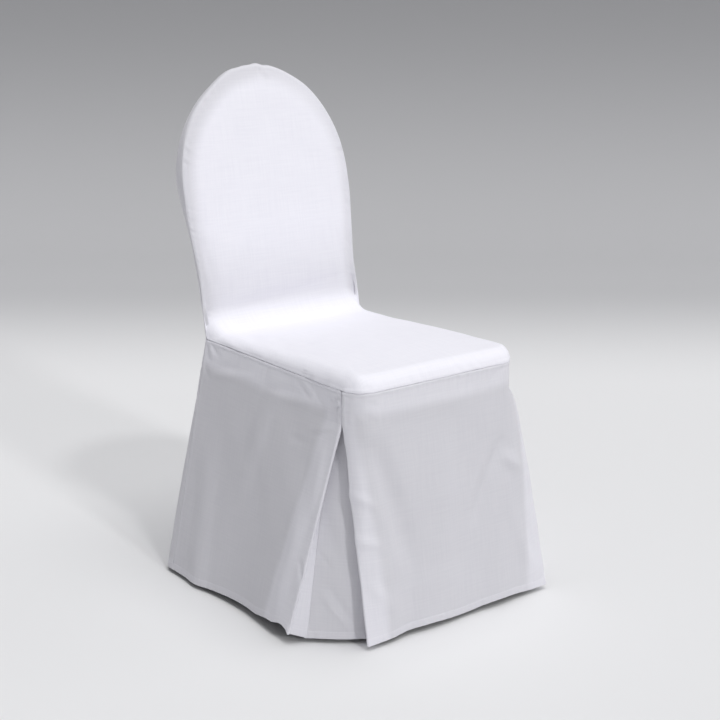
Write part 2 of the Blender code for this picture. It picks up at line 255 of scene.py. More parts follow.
@dataclass(frozen=True)
class Puckers:
    """The small uneven gathers that a line of stitching draws into the cloth beside it.

    They come in patches of several pitches. filled says how much of the line they take up, and patchy how far
    that varies along it.
    """

    pitch: float
    height: float
    reach: float
    slant: float = 0.35
    filled: float = 0.55
    patchy: float = 0.6
    patch: float = 5.0

    def field(self, along: np.ndarray, away: np.ndarray, seed: int) -> np.ndarray:
        """The height that they add.

        Args:
            along: metres along the stitching.
            away: metres away from it.
            seed: which of the many such puckers.

        Returns:
            The heights.
        """
        gathers = wobble(along + self.slant * away, self.pitch, seed)
        patches = smooth(self.filled + self.patchy * wobble(along, self.pitch * self.patch, seed + 1))
        return self.height * gathers * patches * np.exp(-away / self.reach)


@dataclass(frozen=True)
class Pleat:
    """An inverted pleat at a front corner, seen from above at the hem.

    side_fold and front_fold are its two fold edges, side_seam and front_seam the seams of its underlay. A
    fold edge whose spring is below 1 swings sideways early, just below where the pleat is sewn shut.
    """

    side_fold: Plan
    front_fold: Plan
    side_seam: Plan
    front_seam: Plan
    bow: float
    side_spring: float
    front_spring: float


@dataclass(frozen=True)
class CoverCut:
    """The driving sizes of the whole cover, in metres above the floor under its hem."""

    seam_gap: float = 0.0016
    corner_seam_gap: float = 0.0006
    rear_seam_gap: float = 0.0016
    fold_radius: float = 0.0026
    least_fold_turn: float = 0.3
    seam_back_z: float = 0.455
    seam_front_z: float = 0.447
    seat_half_back: float = 0.181
    seat_half_front: float = 0.184
    seat_front_y: float = -0.227
    seat_corner: float = 0.040
    shoulder_in: float = 0.024
    shoulder_front_up: float = 0.026
    shoulder_back_up: float = 0.013
    seat_crown: float = 0.009
    side_bend: float = 0.004
    middle_bend: float = 0.055
    lean: float = math.radians(10.7)
    back_foot_y: float = 0.219
    back_foot_half: float = 0.181
    back_wide_half: float = 0.190
    widens_from_z: float = 0.550
    widens_to_z: float = 0.700
    oval_z: float = 0.725
    oval_radius: float = 0.200
    top_z: float = 0.942
    cushion: float = 0.006
    cushion_in: float = 0.030
    cushion_rise: float = 0.060
    hold_under_top: float = 0.006
    pocket_depth: float = 0.045
    pocket_round: float = 0.034
    pocket_wall: float = 2.3
    pocket_wall_low: float = 1.35
    pocket_low_round: float = 0.060
    pocket_tucked_z: float = 0.610
    pocket_full_z: float = 0.750
    pocket_behind: float = 0.0016
    rear_edge_hem_y: float = 0.247
    rear_depth_hem: float = 0.040
    rear_half_hem: float = 0.256
    hem_z: float = 0.009
    pleat_top_z: float = 0.390
    side_follows_pleat: float = 0.45
    front_follows_pleat: float = 0.25
    beside_fold: float = 0.015
    side_seam_top: Plan = Plan(0.1800, -0.154)
    front_seam_top: Plan = Plan(0.1640, -0.2050)

    @property
    def corner_seam_y(self) -> float:
        """Depth of the seam that closes the top of each front corner."""
        return self.seat_front_y + self.seat_corner

    @property
    def pocket_foot_y(self) -> float:
        """Depth of the outside panel's edge at the seat."""
        return self.back_foot_y + self.pocket_behind

    @property
    def hold(self) -> np.ndarray:
        """The point that the cover is held by, which is the model's origin."""
        z = self.top_z - self.hold_under_top
        return np.array([0.0, float(self.back_y(z)) + self.pocket_depth / 2.0, z])

    def seam_z(self, y: np.ndarray) -> np.ndarray:
        """Height of the seat seam at a depth y."""
        t = (y - self.seat_front_y) / (self.back_foot_y - self.seat_front_y)
        return blend(self.seam_front_z, self.seam_back_z, t)

    def seat_half(self, y: np.ndarray) -> np.ndarray:
        """Half the seat's width at a depth y."""
        t = (y - self.seat_front_y) / (self.back_foot_y - self.seat_front_y)
        return blend(self.seat_half_front, self.seat_half_back, smooth(t))

    def seat_front(self, x: np.ndarray) -> np.ndarray:
        """Depth of the front seam at x, which turns round each front corner."""
        past = np.clip(np.abs(x) - (self.seat_half_front - self.seat_corner), 0.0, self.seat_corner)
        return self.seat_front_y + self.seat_corner - np.sqrt(self.seat_corner**2 - past**2)

    def back_half(self, z: np.ndarray) -> np.ndarray:
        """Half the width of the back's outline at a height z, up to where the oval starts."""
        t = (z - self.widens_from_z) / (self.widens_to_z - self.widens_from_z)
        return blend(self.back_foot_half, self.back_wide_half, smooth(t))

    def back_top(self, u: np.ndarray) -> np.ndarray:
        """Height of the oval top at a place from -1 to 1 across it."""
        even = self.oval_z + (self.top_z - self.oval_z) * np.sqrt(np.clip(1.0 - u**2, 0.0, 1.0))
        return even + self.top_lift(u)

    def top_lift(self, u: np.ndarray) -> np.ndarray:
        """How far the oval top is pushed up by the cloth's small peaks, at a place from -1 to 1 across it."""
        return sum(lift.up * hump((u - lift.at) / lift.half_width) for lift in TOP_LIFTS)

    def back_y(self, z: np.ndarray) -> np.ndarray:
        """Depth of the leaning back seam at a height z."""
        return self.back_foot_y + (z - self.seam_back_z) * math.tan(self.lean)

    def inside_outline(self, x: np.ndarray, z: np.ndarray) -> np.ndarray:
        """Distance inward from the back's outline."""
        lifted = self.top_lift(x / self.back_wide_half)
        up = np.clip((z - self.oval_z - lifted) / (self.top_z - self.oval_z), 0.0, None)
        oval = (1.0 - np.hypot(x / self.back_wide_half, up)) * self.back_wide_half
        return np.where(z > self.oval_z, oval, self.back_half(z) - np.abs(x))

    def along_outline(self, x: np.ndarray, z: np.ndarray) -> np.ndarray:
        """Metres along the back's outline, up a side and round the oval, and below 0 on the right."""
        round_oval = self.oval_z + self.oval_radius * np.arctan2(z - self.oval_z, np.abs(x))
        along = np.where(z > self.oval_z, round_oval, z)
        return np.where(x > 0.0, -along, along)

    def pleat_opening(self, z: np.ndarray) -> np.ndarray:
        """How far a front pleat has opened at a height z: 0 where it is sewn shut, 1 at the hem."""
        return np.clip((self.pleat_top_z - z) / (self.pleat_top_z - self.hem_z), 0.0, 1.0)

    def skirt_z(self, down: np.ndarray, top_z: np.ndarray, bottom_z: np.ndarray) -> np.ndarray:
        """Height at a share of the way down a skirt."""
        return blend(top_z - self.seam_gap, bottom_z, down)


TOP_LIFTS = (
    Lift(0.02, 0.06, 0.0016),
    Lift(0.11, 0.05, -0.0012),
    Lift(-0.30, 0.09, 0.0012),
    Lift(-0.60, 0.24, -0.0035),
    Lift(0.42, 0.20, -0.0015),
)
LEFT_PLEAT = Pleat(
    side_fold=Plan(-0.266, -0.138),
    front_fold=Plan(-0.172, -0.244),
    side_seam=Plan(-0.234, -0.152),
    front_seam=Plan(-0.139, -0.229),
    bow=0.005,
    side_spring=1.0,
    front_spring=1.0,
)
RIGHT_PLEAT = Pleat(
    side_fold=Plan(0.264, -0.176),
    front_fold=Plan(0.251, -0.249),
    side_seam=Plan(0.256, -0.141),
    front_seam=Plan(0.214, -0.232),
    bow=0.003,
    side_spring=0.35,
    front_spring=0.40,
)
LEFT_FOLDS = (
    Fold(0.45, 0.55, 0.40, -0.012, 1.00, 0.75),
    Fold(0.94, 0.86, 0.07, 0.004, 0.62, 0.50),
    Fold(0.12, 0.22, 0.10, 0.004, 0.80, 0.50),
    Fold(0.60, 0.30, 0.08, 0.003, 0.30, 0.30),
)
FRONT_FOLDS = (
    Fold(0.30, 0.22, 0.09, -0.004, 0.90, 0.60),
    Fold(0.96, 0.55, 0.10, -0.005, 0.35, 0.40),
    Fold(0.80, 0.72, 0.12, 0.004, 0.80, 0.60),
    Fold(0.45, 0.42, 0.12, 0.003, 0.70, 0.60),
)
RIGHT_FOLDS = (
    Fold(0.50, 0.48, 0.35, -0.010, 1.00, 0.75),
    Fold(0.30, 0.22, 0.10, 0.004, 0.80, 0.60),
    Fold(0.72, 0.76, 0.10, 0.004, 0.70, 0.60),
)
REAR_FOLDS = (
    Fold(0.50, 0.50, 0.30, 0.008, 1.00, 0.60),
    Fold(0.26, 0.22, 0.12, -0.006, 1.00, 0.60),
    Fold(0.76, 0.80, 0.12, -0.006, 1.00, 0.60),
)
LEFT_LIFTS = (Lift(0.95, 0.10, 0.010), Lift(0.88, 0.20, 0.012), Lift(0.62, 0.42, 0.006))
FRONT_LIFTS = (Lift(0.30, 0.22, 0.003), Lift(0.72, 0.20, 0.004))
RIGHT_LIFTS = (Lift(0.50, 0.35, 0.005),)
REAR_LIFTS = (Lift(0.30, 0.22, 0.004), Lift(0.74, 0.20, 0.003))

# The cloth beside a seam, the gathered corner of a skirt, the edge of the seat, with and without the row of
# stitches below it, and the dent along a hem's stitches, measured up from the top of the hem's band.
SEAM_ROLL = (Ridge(0.35 * MM, 3.2 * MM, 2.4 * MM), Ridge(-0.25 * MM, 8.0 * MM, 3.0 * MM))
CORNER_ROLL = (Ridge(0.6 * MM, 4.0 * MM, 3.0 * MM), Ridge(-0.6 * MM, 11.0 * MM, 4.0 * MM))
SEAT_EDGE_ROLL = (Ridge(0.5 * MM, 2.2 * MM, 1.2 * MM),)
TOPSTITCHED_EDGE = SEAT_EDGE_ROLL + (Ridge(-0.6 * MM, 5.0 * MM, 1.2 * MM),)
HEM_DENT = (Ridge(-0.2 * MM, -0.6 * MM, 1.2 * MM),)

SEAM_PUCKERS = Puckers(15.0 * MM, 1.0, 12.0 * MM)
FINE_SEAM_PUCKERS = Puckers(8.0 * MM, 0.5, 6.0 * MM)
HEM_PUCKERS = Puckers(12.0 * MM, 0.4 * MM, 14.0 * MM)
CORNER_PUCKERS = Puckers(9.0 * MM, 2.0 * MM, 14.0 * MM)
SEAT_GATHERS = Puckers(10.0 * MM, 2.0 * MM, 16.0 * MM, slant=0.1)


def ridged(ridges: Sequence[Ridge], away: np.ndarray) -> np.ndarray:
    """The height that the ridges beside a seam add, at a distance from it."""
    return sum(ridge.height * bell((away - ridge.away) / ridge.width) for ridge in ridges)


def loose(away: np.ndarray, reach: float) -> np.ndarray:
    """0 at a seam, where its stitches hold the cloth down, and 1 beyond their reach."""
    return 1.0 - bell(away / reach)


def creased(creases: Sequence[Crease], across: np.ndarray, up: np.ndarray) -> np.ndarray:
    """The height that a panel's creases add, at places in the two directions that it names."""
    return sum(crease.field(across, up) for crease in creases)


def folded_out(folds: Sequence[Fold], along: np.ndarray, down: np.ndarray) -> np.ndarray:
    """How far a skirt's soft folds stand out.

    Args:
        folds: the skirt's folds.
        along: places along it, from 0 to 1.
        down: places from its seam (0) to its hem (1).

    Returns:
        The distance out of the cover at each place.
    """
    out = np.zeros(np.broadcast(along, down).shape)
    for fold in folds:
        centre = blend(fold.at_seam, fold.at_hem, down)
        across = hump((along - centre) / fold.half_width)
        out = out + fold.out * across * hump((down - fold.strongest) / fold.reach)
    return out


def hem_height(cut: CoverCut, lifts: Sequence[Lift], along: np.ndarray) -> np.ndarray:
    """Height of a skirt's hem at a place along it."""
    return cut.hem_z + sum(lift.up * hump((along - lift.at) / lift.half_width) for lift in lifts)


def to_linear(colour: str) -> tuple[float, float, float, float]:
    """A colour written as sRGB hex, such as #F2F1F8, in the linear values that shaders take."""
    channels = (int(colour[at : at + 2], 16) / 255.0 for at in (1, 3, 5))
    linear = [c / 12.92 if c <= 0.04045 else ((c + 0.055) / 1.055) ** 2.4 for c in channels]
    return (linear[0], linear[1], linear[2], 1.0)


def add_node(
    tree: bpy.types.NodeTree,
    kind: str,
    settings: Optional[dict[str, object]] = None,
    inputs: Optional[dict[str, object]] = None,
) -> bpy.types.Node:
    """Adds one shader node.

    Args:
        tree: the material's node tree.
        kind: the node's type, such as ShaderNodeTexNoise.
        settings: values of its own properties.
        inputs: a value, or the output socket to link, for each named input.

    Returns:
        The new node.
    """
    node = tree.nodes.new(kind)
    for name, value in (settings or {}).items():
        setattr(node, name, value)
    for name, value in (inputs or {}).items():
        socket = node.inputs[int(name)] if name.isdigit() else node.inputs[name]
        if isinstance(value, bpy.types.NodeSocket):
            tree.links.new(value, socket)
        else:
            socket.default_value = value
    return node


def new_material(name: str, surface: dict[str, object]) -> tuple[bpy.types.Material, bpy.types.Node]:
    """Starts a material.

    Args:
        name: what it is called.
        surface: the values of its shader's inputs that are the same all over.

    Returns:
        The material and its shader node.
    """
    made = bpy.data.materials.new(name)
    made.use_nodes = True
    shader = made.node_tree.nodes["Principled BSDF"]
    for socket, value in surface.items():
        shader.inputs[socket].default_value = value
    return made, shader


def wave_scale(pitch: float) -> float:
    """The scale at which a wave node draws bands that lie a pitch apart."""
    return 2.0 * math.pi / (WAVE_RADIANS * pitch)


@dataclass(frozen=True)
class WovenPolyester:
    """Plain-woven white polyester, bleached and brightened, pressed but worn a few times.

    The eye gets a matt, slightly lavender white with a faint silky sheen, fine thread lines along the cut,
    and slubs where a thread is thicker. The cloth is a little sheer: one layer looks greyer over the dark
    inside of the cover, and whiter where a hem, a folded edge or padding backs it. The same backing value
    also carries painted shade, which greys the back's border and foot. Threads are really 0.4 mm
    apart, which no picture of a whole cover shows, so they are drawn three times as coarse.
    """

    name: str = "woven_white_polyester"
    backed: str = "#F6F5FC"
    one_layer: str = "#D8D7DC"
    thick_thread: str = "#FAFAFB"
    sheen_tint: str = "#FFFFFF"
    roughness: float = 0.78
    specular: float = 0.35
    sheen: float = 0.18
    sheen_roughness: float = 0.45
    thread_pitch: float = 1.2 * MM
    thread_waver: float = 0.6
    slub_length: float = 70.0 * MM
    slub_pitch: float = 3.0 * MM
    slub_detail: float = 2.0
    slub_height: float = 0.8
    slub_thin: float = 0.75
    slub_thick: float = 1.30
    relief: float = 0.05 * MM
    relief_strength: float = 0.6

    def material(self) -> bpy.types.Material:
        """Builds the material."""
        made, shader = new_material(
            self.name,
            {
                "Roughness": self.roughness,
                "Specular IOR Level": self.specular,
                "Sheen Weight": self.sheen,
                "Sheen Roughness": self.sheen_roughness,
                "Sheen Tint": to_linear(self.sheen_tint),
            },
        )
        tree = made.node_tree
        woven, slubs = self.threads(tree)
        height = add_node(
            tree,
            "ShaderNodeMath",
            {"operation": "MULTIPLY_ADD"},
            {"0": slubs, "1": self.slub_height, "2": woven},
        )
        bump = add_node(
            tree,
            "ShaderNodeBump",
            None,
            {"Height": height.outputs[0], "Distance": self.relief, "Strength": self.relief_strength},
        )
        tree.links.new(self.colour(tree, slubs), shader.inputs["Base Color"])
        tree.links.new(bump.outputs[0], shader.inputs["Normal"])
        return made

    def threads(self, tree: bpy.types.NodeTree) -> tuple[bpy.types.NodeSocket, bpy.types.NodeSocket]:
        """The threads that run both ways along the cut.

        Args:
            tree: the material's node tree.

        Returns:
            The height of the weave, and how thick the slubs are.
        """
        cut = add_node(tree, "ShaderNodeUVMap", {"uv_map": "cut"}).outputs["UV"]
        long = 1.0 / self.slub_length
        thin = 1.0 / self.slub_pitch
        waves = []
        slubs = []
        for direction, scale in (("X", (long, thin, 1.0)), ("Y", (thin, long, 1.0))):
            wave = add_node(
                tree,
                "ShaderNodeTexWave",
                {"bands_direction": direction},
                {"Vector": cut, "Scale": wave_scale(self.thread_pitch), "Distortion": self.thread_waver},
            )
            place = add_node(tree, "ShaderNodeMapping", None, {"Vector": cut, "Scale": scale})
            slub = add_node(
                tree,
                "ShaderNodeTexNoise",
                None,
                {"Vector": place.outputs[0], "Scale": 1.0, "Detail": self.slub_detail},
            )
            waves.append(wave.outputs["Fac"])
            slubs.append(slub.outputs["Fac"])
        woven, thick = (
            add_node(tree, "ShaderNodeMath", {"operation": "ADD"}, {"0": one_way, "1": other_way})
            for one_way, other_way in (waves, slubs)
        )
        return woven.outputs[0], thick.outputs[0]

    def colour(self, tree: bpy.types.NodeTree, slubs: bpy.types.NodeSocket) -> bpy.types.NodeSocket:
        """The colour: greyer where one layer lies over the dark inside and where painted shade is laid on,
        and paler along the slubs.

        Args:
            tree: the material's node tree.
            slubs: how thick the slubs are.

        Returns:
            The colour.
        """
        # The backing attribute also carries painted shade, which greys the back's border and foot.
        backing_and_painted_shade = add_node(tree, "ShaderNodeAttribute", {"attribute_name": "backing_and_painted_shade"}).outputs["Fac"]
        layers = add_node(
            tree,
            "ShaderNodeMix",
            {"data_type": "RGBA"},
            {
                "Factor": backing_and_painted_shade,
                FIRST_COLOUR: to_linear(self.one_layer),
                SECOND_COLOUR: to_linear(self.backed),
            },
        ).outputs[MIXED_COLOUR]
        tint = add_node(
            tree,
            "ShaderNodeMapRange",
            None,
            {"Value": slubs, "From Min": self.slub_thin, "From Max": self.slub_thick},
        ).outputs[0]
        return add_node(
            tree,
            "ShaderNodeMix",
            {"data_type": "RGBA", "blend_type": "MULTIPLY"},
            {"Factor": tint, FIRST_COLOUR: layers, SECOND_COLOUR: to_linear(self.thick_thread)},
        ).outputs[MIXED_COLOUR]


@dataclass(frozen=True)
class PolyesterThread:
    """Spun white polyester sewing thread, a little glossier than the cloth that it holds."""

    name: str = "spun_polyester_thread"
    colour: str = "#F6F5FA"
    roughness: float = 0.55
    twist_pitch: float = 0.9 * MM
    relief: float = 0.05 * MM

    def material(self) -> bpy.types.Material:
        """Builds the material."""
        surface = {"Base Color": to_linear(self.colour), "Roughness": self.roughness}
        made, shader = new_material(self.name, surface)
        tree = made.node_tree
        place = add_node(tree, "ShaderNodeTexCoord").outputs["Object"]
        twist = add_node(
            tree,
            "ShaderNodeTexWave",
            {"bands_direction": "DIAGONAL"},
            {"Vector": place, "Scale": wave_scale(self.twist_pitch)},
        )
        raised = {"Height": twist.outputs["Fac"], "Distance": self.relief}
        bump = add_node(tree, "ShaderNodeBump", None, raised)
        tree.links.new(bump.outputs[0], shader.inputs["Normal"])
        return made


@dataclass(frozen=True)
class StudioPaper:
    """A seamless sweep of matt paper, white near by, with painted shade that makes it grey farther off and
    greyer still with its height.
    """

    name: str = "matt_studio_paper_painted_shade"
    # Painted shade: the paper is drawn grey farther off and greyer still with height, standing in for light
    # falling off across the studio.
    near: str = "#E9E9EA"
    far: str = "#BDBDBF"
    high: str = "#A6A6A8"
    roughness: float = 0.9
    specular: float = 0.2
    painted_shade_far_from: float = 1.3
    painted_shade_far_to: float = 2.7
    painted_shade_high_from: float = 0.0
    painted_shade_high_to: float = 1.1

    def material(self) -> bpy.types.Material:
        """Builds the material."""
        surface = {"Roughness": self.roughness, "Specular IOR Level": self.specular}
        made, shader = new_material(self.name, surface)
        tree = made.node_tree
        place = add_node(tree, "ShaderNodeTexCoord").outputs["Object"]
        parts = add_node(tree, "ShaderNodeSeparateXYZ", None, {"Vector": place})
        # Painted shade along Y with distance and along Z with height.
        grades = (
            ("Y", self.painted_shade_far_from, self.painted_shade_far_to, self.far),
            ("Z", self.painted_shade_high_from, self.painted_shade_high_to, self.high),
        )
        colour = to_linear(self.near)
        for axis, start, end, shade in grades:
            share = add_node(
                tree,
                "ShaderNodeMapRange",
                {"interpolation_type": "SMOOTHSTEP"},
                {"Value": parts.outputs[axis], "From Min": start, "From Max": end},
            )
            colour = add_node(
                tree,
                "ShaderNodeMix",
                {"data_type": "RGBA"},
                {"Factor": share.outputs[0], FIRST_COLOUR: colour, SECOND_COLOUR: to_linear(shade)},
            ).outputs[MIXED_COLOUR]
        tree.links.new(colour, shader.inputs["Base Color"])
        return made


def placed(name: str, data: bpy.types.ID) -> bpy.types.Object:
    """Puts a mesh, a lamp or a camera into the scene.

    Args:
        name: what the object is called.
        data: the mesh, lamp or camera.

    Returns:
        The object.
    """
    thing = bpy.data.objects.new(name, data)
    bpy.context.scene.collection.objects.link(thing)
    return thing


def spaced(
    count: int, length: float, edge_steps: Sequence[float], far_steps: Sequence[float] = ()
) -> np.ndarray:
    """Places from 0 to 1 along a length, with the first and last steps set apart in metres.

    Args:
        count: how many even steps fill the middle.
        length: the whole length in metres.
        edge_steps: the sizes of the steps from the start, in metres.
        far_steps: the same from the end.

    Returns:
        The places, in rising order, with 0 and 1.
    """
    near = np.concatenate([[0.0], np.cumsum(edge_steps)]) / length
    far = 1.0 - np.concatenate([[0.0], np.cumsum(far_steps)])[::-1] / length
    middle = np.linspace(near[-1], far[0], count + 1)[1:-1]
    return np.concatenate([near, middle, far])


def sampled(values: np.ndarray, travelled: np.ndarray, places: np.ndarray) -> np.ndarray:
    """Reads vectors off along a line.

    Args:
        values: a vector at each point of the line.
        travelled: the distance along the line at each of its points.
        places: the distances at which it is read.

    Returns:
        A vector at each place.
    """
    return np.stack([np.interp(places, travelled, values[:, axis]) for axis in range(3)], axis=1)


def turned_in(
    edge: np.ndarray, ahead: np.ndarray, out: np.ndarray, radius: float, turn: float, steps: int
) -> np.ndarray:
    """Turns cloth to the inside round its edge.

    Args:
        edge: the points of the edge.
        ahead: the way off the edge at each of them.
        out: the way out of the cover at each of them.
        radius: how tight the turn is.
        turn: how far round it goes, in radians.
        steps: how many rows it takes.

    Returns:
        The rows of points, without the edge itself.
    """
    angles = np.linspace(0.0, turn, steps + 1)[1:, None, None]
    return edge + radius * (np.sin(angles) * ahead - (1.0 - np.cos(angles)) * out)


@dataclass(frozen=True)
class SewnLine:
    """The places of a panel's grid along its sewn edge, in order round the panel."""

    rows: np.ndarray
    columns: np.ndarray
    closed: bool

    @classmethod
    def through(cls, corners: Sequence[tuple[int, int]], closed: bool = False) -> "SewnLine":
        """The line that runs straight from corner to corner.

        Args:
            corners: the row and column of each corner. A closed line comes back to its first.
            closed: whether the line is closed.

        Returns:
            The line.
        """
        places = []
        for start, end in zip(corners, corners[1:]):
            steps = max(abs(end[0] - start[0]), abs(end[1] - start[1]))
            places.append(np.linspace(start, end, steps + 1)[:-1])
        if not closed:
            places.append(np.array([corners[-1]]))
        line = np.rint(np.concatenate(places)).astype(int)
        return cls(line[:, 0], line[:, 1], closed)


@dataclass
class HemStitching:
    """The row of stitches that holds a hem, as small lengths of thread bedded in the cloth."""

    name: str
    thread: bpy.types.Material
    pitch: float = 3.6 * MM
    length: float = 2.7 * MM
    width: float = 0.55 * MM
    proud: float = 0.12 * MM

    def bead(self) -> tuple[np.ndarray, np.ndarray]:
        """The vertices and the triangles of a ball of diameter 1, from which each stitch is stretched."""
        shape = bmesh.new()
        bmesh.ops.create_icosphere(shape, subdivisions=1, radius=0.5)
        vertices = np.array([vertex.co for vertex in shape.verts])
        triangles = np.array([[vertex.index for vertex in face.verts] for face in shape.faces])
        shape.free()
        return vertices, triangles

    def build(self, line: np.ndarray, outward: np.ndarray) -> bpy.types.Object:
        """Makes the stitches along a line.

        Args:
            line: points along the hem.
            outward: the way out of the cover at each of them.

        Returns:
            The stitches as one object.
        """
        travelled = np.concatenate([[0.0], np.cumsum(np.linalg.norm(np.diff(line, axis=0), axis=1))])
        places = np.arange(self.pitch, travelled[-1] - self.pitch, self.pitch)
        at = sampled(line, travelled, places)
        ahead = normalised(sampled(line, travelled, places + self.pitch / 2.0) - at)
        out = normalised(sampled(outward, travelled, places))
        beside = normalised(np.cross(out, ahead))
        out = np.cross(ahead, beside)
        bead, faces = self.bead()
        stitch = bead * np.array([self.length, self.width, self.width])
        bedded = at + out * (self.proud - self.width / 2.0)
        points = bedded[:, None] + stitch @ np.stack([ahead, beside, out], axis=1)
        triangles = faces[None] + (np.arange(len(at)) * len(bead))[:, None, None]
        mesh = bpy.data.meshes.new(self.name)
        mesh.from_pydata(points.reshape(-1, 3).tolist(), [], triangles.reshape(-1, 3).tolist())
        mesh.shade_smooth()
        mesh.materials.append(self.thread)
        piece = placed(self.name, mesh)
        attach(piece, BODY)
        return piece


@dataclass
class Panel:
    """One cut panel of the cover, as a thin sheet on the folds of its solid, the node that it dresses."""

    node: str
    cut: CoverCut
    cloth: bpy.types.Material
    thread: bpy.types.Material
    seed: int = 1
    hold: Hold = Hold.HUNG
    hemmed: bool = True
    thickness: float = 0.6 * MM
    turn_radius: float = 0.8 * MM
    turn_steps: int = 4
    allowance: float = 7.0 * MM
    allowance_rows: tuple[float, ...] = (0.2, 0.6, 1.0)
    beside_edge: int = 2
    hem_rows: int = 11
    hem_step: float = 1.1 * MM
    hem_radius: float = 0.75 * MM
    hem_turn_steps: int = 6
    hem_raise: float = 0.30 * MM
    hem_raised_over: float = 2.0 * MM
    hem_backing: float = 0.14
    hem_backed_over: float = 1.5 * MM
    waviness: float = 0.5 * MM
    wave_pitch: float = 90.0 * MM
    held_beside_seam: float = 3.0 * MM

    @property
    def hem_band(self) -> float:
        """Height of the turned-up hem."""
        return (self.hem_rows + 0.5) * self.hem_step

    def surface(self) -> np.ndarray:
        """The panel's plain surface: rows from its top down, columns, and x, y, z above the floor."""
        raise NotImplementedError

    def outward(self) -> np.ndarray:
        """The way out of the cover at the middle of the panel."""
        raise NotImplementedError

    def relief(self, points: np.ndarray, across: np.ndarray, down: np.ndarray) -> np.ndarray:
        """Heights of the seams and creases above the plain surface.

        Args:
            points: the plain surface.
            across: metres across the cut panel at each of them.
            down: metres down the cut panel.

        Returns:
            The height at each point.
        """
        raise NotImplementedError

    def sewn(self, rows: int, columns: int) -> Optional[SewnLine]:
        """The edge whose seam allowance is turned to the inside, in a grid of so many rows and columns."""
        return None

    def backing_and_painted_shade(self, points: np.ndarray, from_hem: np.ndarray) -> np.ndarray:
        """How far the cloth is backed: 0 where it is one layer over the dark inside, 1 over padding, and less
        where painted shade greys it.

        Args:
            points: the plain surface.
            from_hem: metres up from the hem at each of them.

        Returns:
            The backing at each point.
        """
        return self.hem_backing * past_edge(self.hem_band - from_hem, self.hem_backed_over)

    def straight_row(self) -> int:
        """The row along which the threads lie straight across."""
        return 0

    def middle_column(self, columns: int) -> int:
        """The column that distances across are measured from."""
        return columns // 2

    def measured(self, points: np.ndarray) -> tuple[np.ndarray, np.ndarray]:
        """Distances along the cloth.

        Args:
            points: the plain surface.

        Returns:
            Metres across from the middle column, and down from the first row, at each point.
        """
        across = np.zeros(points.shape[:2])
        across[:, 1:] = np.cumsum(np.linalg.norm(np.diff(points, axis=1), axis=2), axis=1)
        across -= across[:, self.middle_column(points.shape[1])][:, None]
        down = np.zeros(points.shape[:2])
        down[1:] = np.cumsum(np.linalg.norm(np.diff(points, axis=0), axis=2), axis=0)
        return across, down

    def from_sides(self, across: np.ndarray) -> np.ndarray:
        """Metres from the nearer side edge of the panel."""
        return np.minimum(across - across[:, :1], across[:, -1:] - across)

    def normals(self, points: np.ndarray) -> np.ndarray:
        """Outward normals of the panel, from the cells round each point.

        Args:
            points: a grid of points on the panel.

        Returns:
            The normal at each of them.
        """
        cells = np.cross(points[1:, 1:] - points[:-1, :-1], points[:-1, 1:] - points[1:, :-1])
        total = np.zeros(points.shape)
        total[:-1, :-1] += cells
        total[1:, :-1] += cells
        total[:-1, 1:] += cells
        total[1:, 1:] += cells
        out = normalised(total)
        middle = out[out.shape[0] // 2, out.shape[1] // 2]
        return out if middle @ self.outward() > 0.0 else -out

    def hem_turned_up(self, points: np.ndarray, normals: np.ndarray) -> np.ndarray:
        """The hem: a tight half turn to the inside, and the band that lies up against the panel.

        Args:
            points: the grid of points on the panel itself.
            normals: the outward normals there.

        Returns:
            The hem's rows of points.
        """
        below = normalised(points[-1] - points[-2])
        turn = turned_in(points[-1], below, normals[-1], self.hem_radius, math.pi, self.hem_turn_steps)
        last = len(points) - 1
        band = slice(last - 1, last - 1 - self.hem_rows, -1)
        return np.concatenate([turn, points[band] - 2.0 * self.hem_radius * normals[band]])

    def allowance_rings(self, points: np.ndarray, normals: np.ndarray, line: SewnLine) -> np.ndarray:
        """The seam allowance, which is turned to the inside along a sewn line.

        Args:
            points: the grid of points on the panel itself.
            normals: the outward normals there.
            line: the sewn line.

        Returns:
            Its rings of points, from the edge inward.
        """
        edge = points[line.rows, line.columns]
        out = normals[line.rows, line.columns]
        if line.closed:
            along = np.roll(edge, -1, axis=0) - np.roll(edge, 1, axis=0)
        else:
            along = np.gradient(edge, axis=0)
        ahead = normalised(np.cross(normalised(along), out))
        rows, columns = (
            np.clip(places, self.beside_edge, size - 1 - self.beside_edge)
            for places, size in zip((line.rows, line.columns), points.shape)
        )
        if np.sum(ahead * (edge - points[rows, columns])) < 0.0:
            ahead = -ahead
        turn = turned_in(edge, ahead, out, self.turn_radius, math.pi / 2.0, self.turn_steps)
        flap = turn[-1] - out * self.allowance * np.array(self.allowance_rows)[:, None, None]
        return np.concatenate([turn, flap])

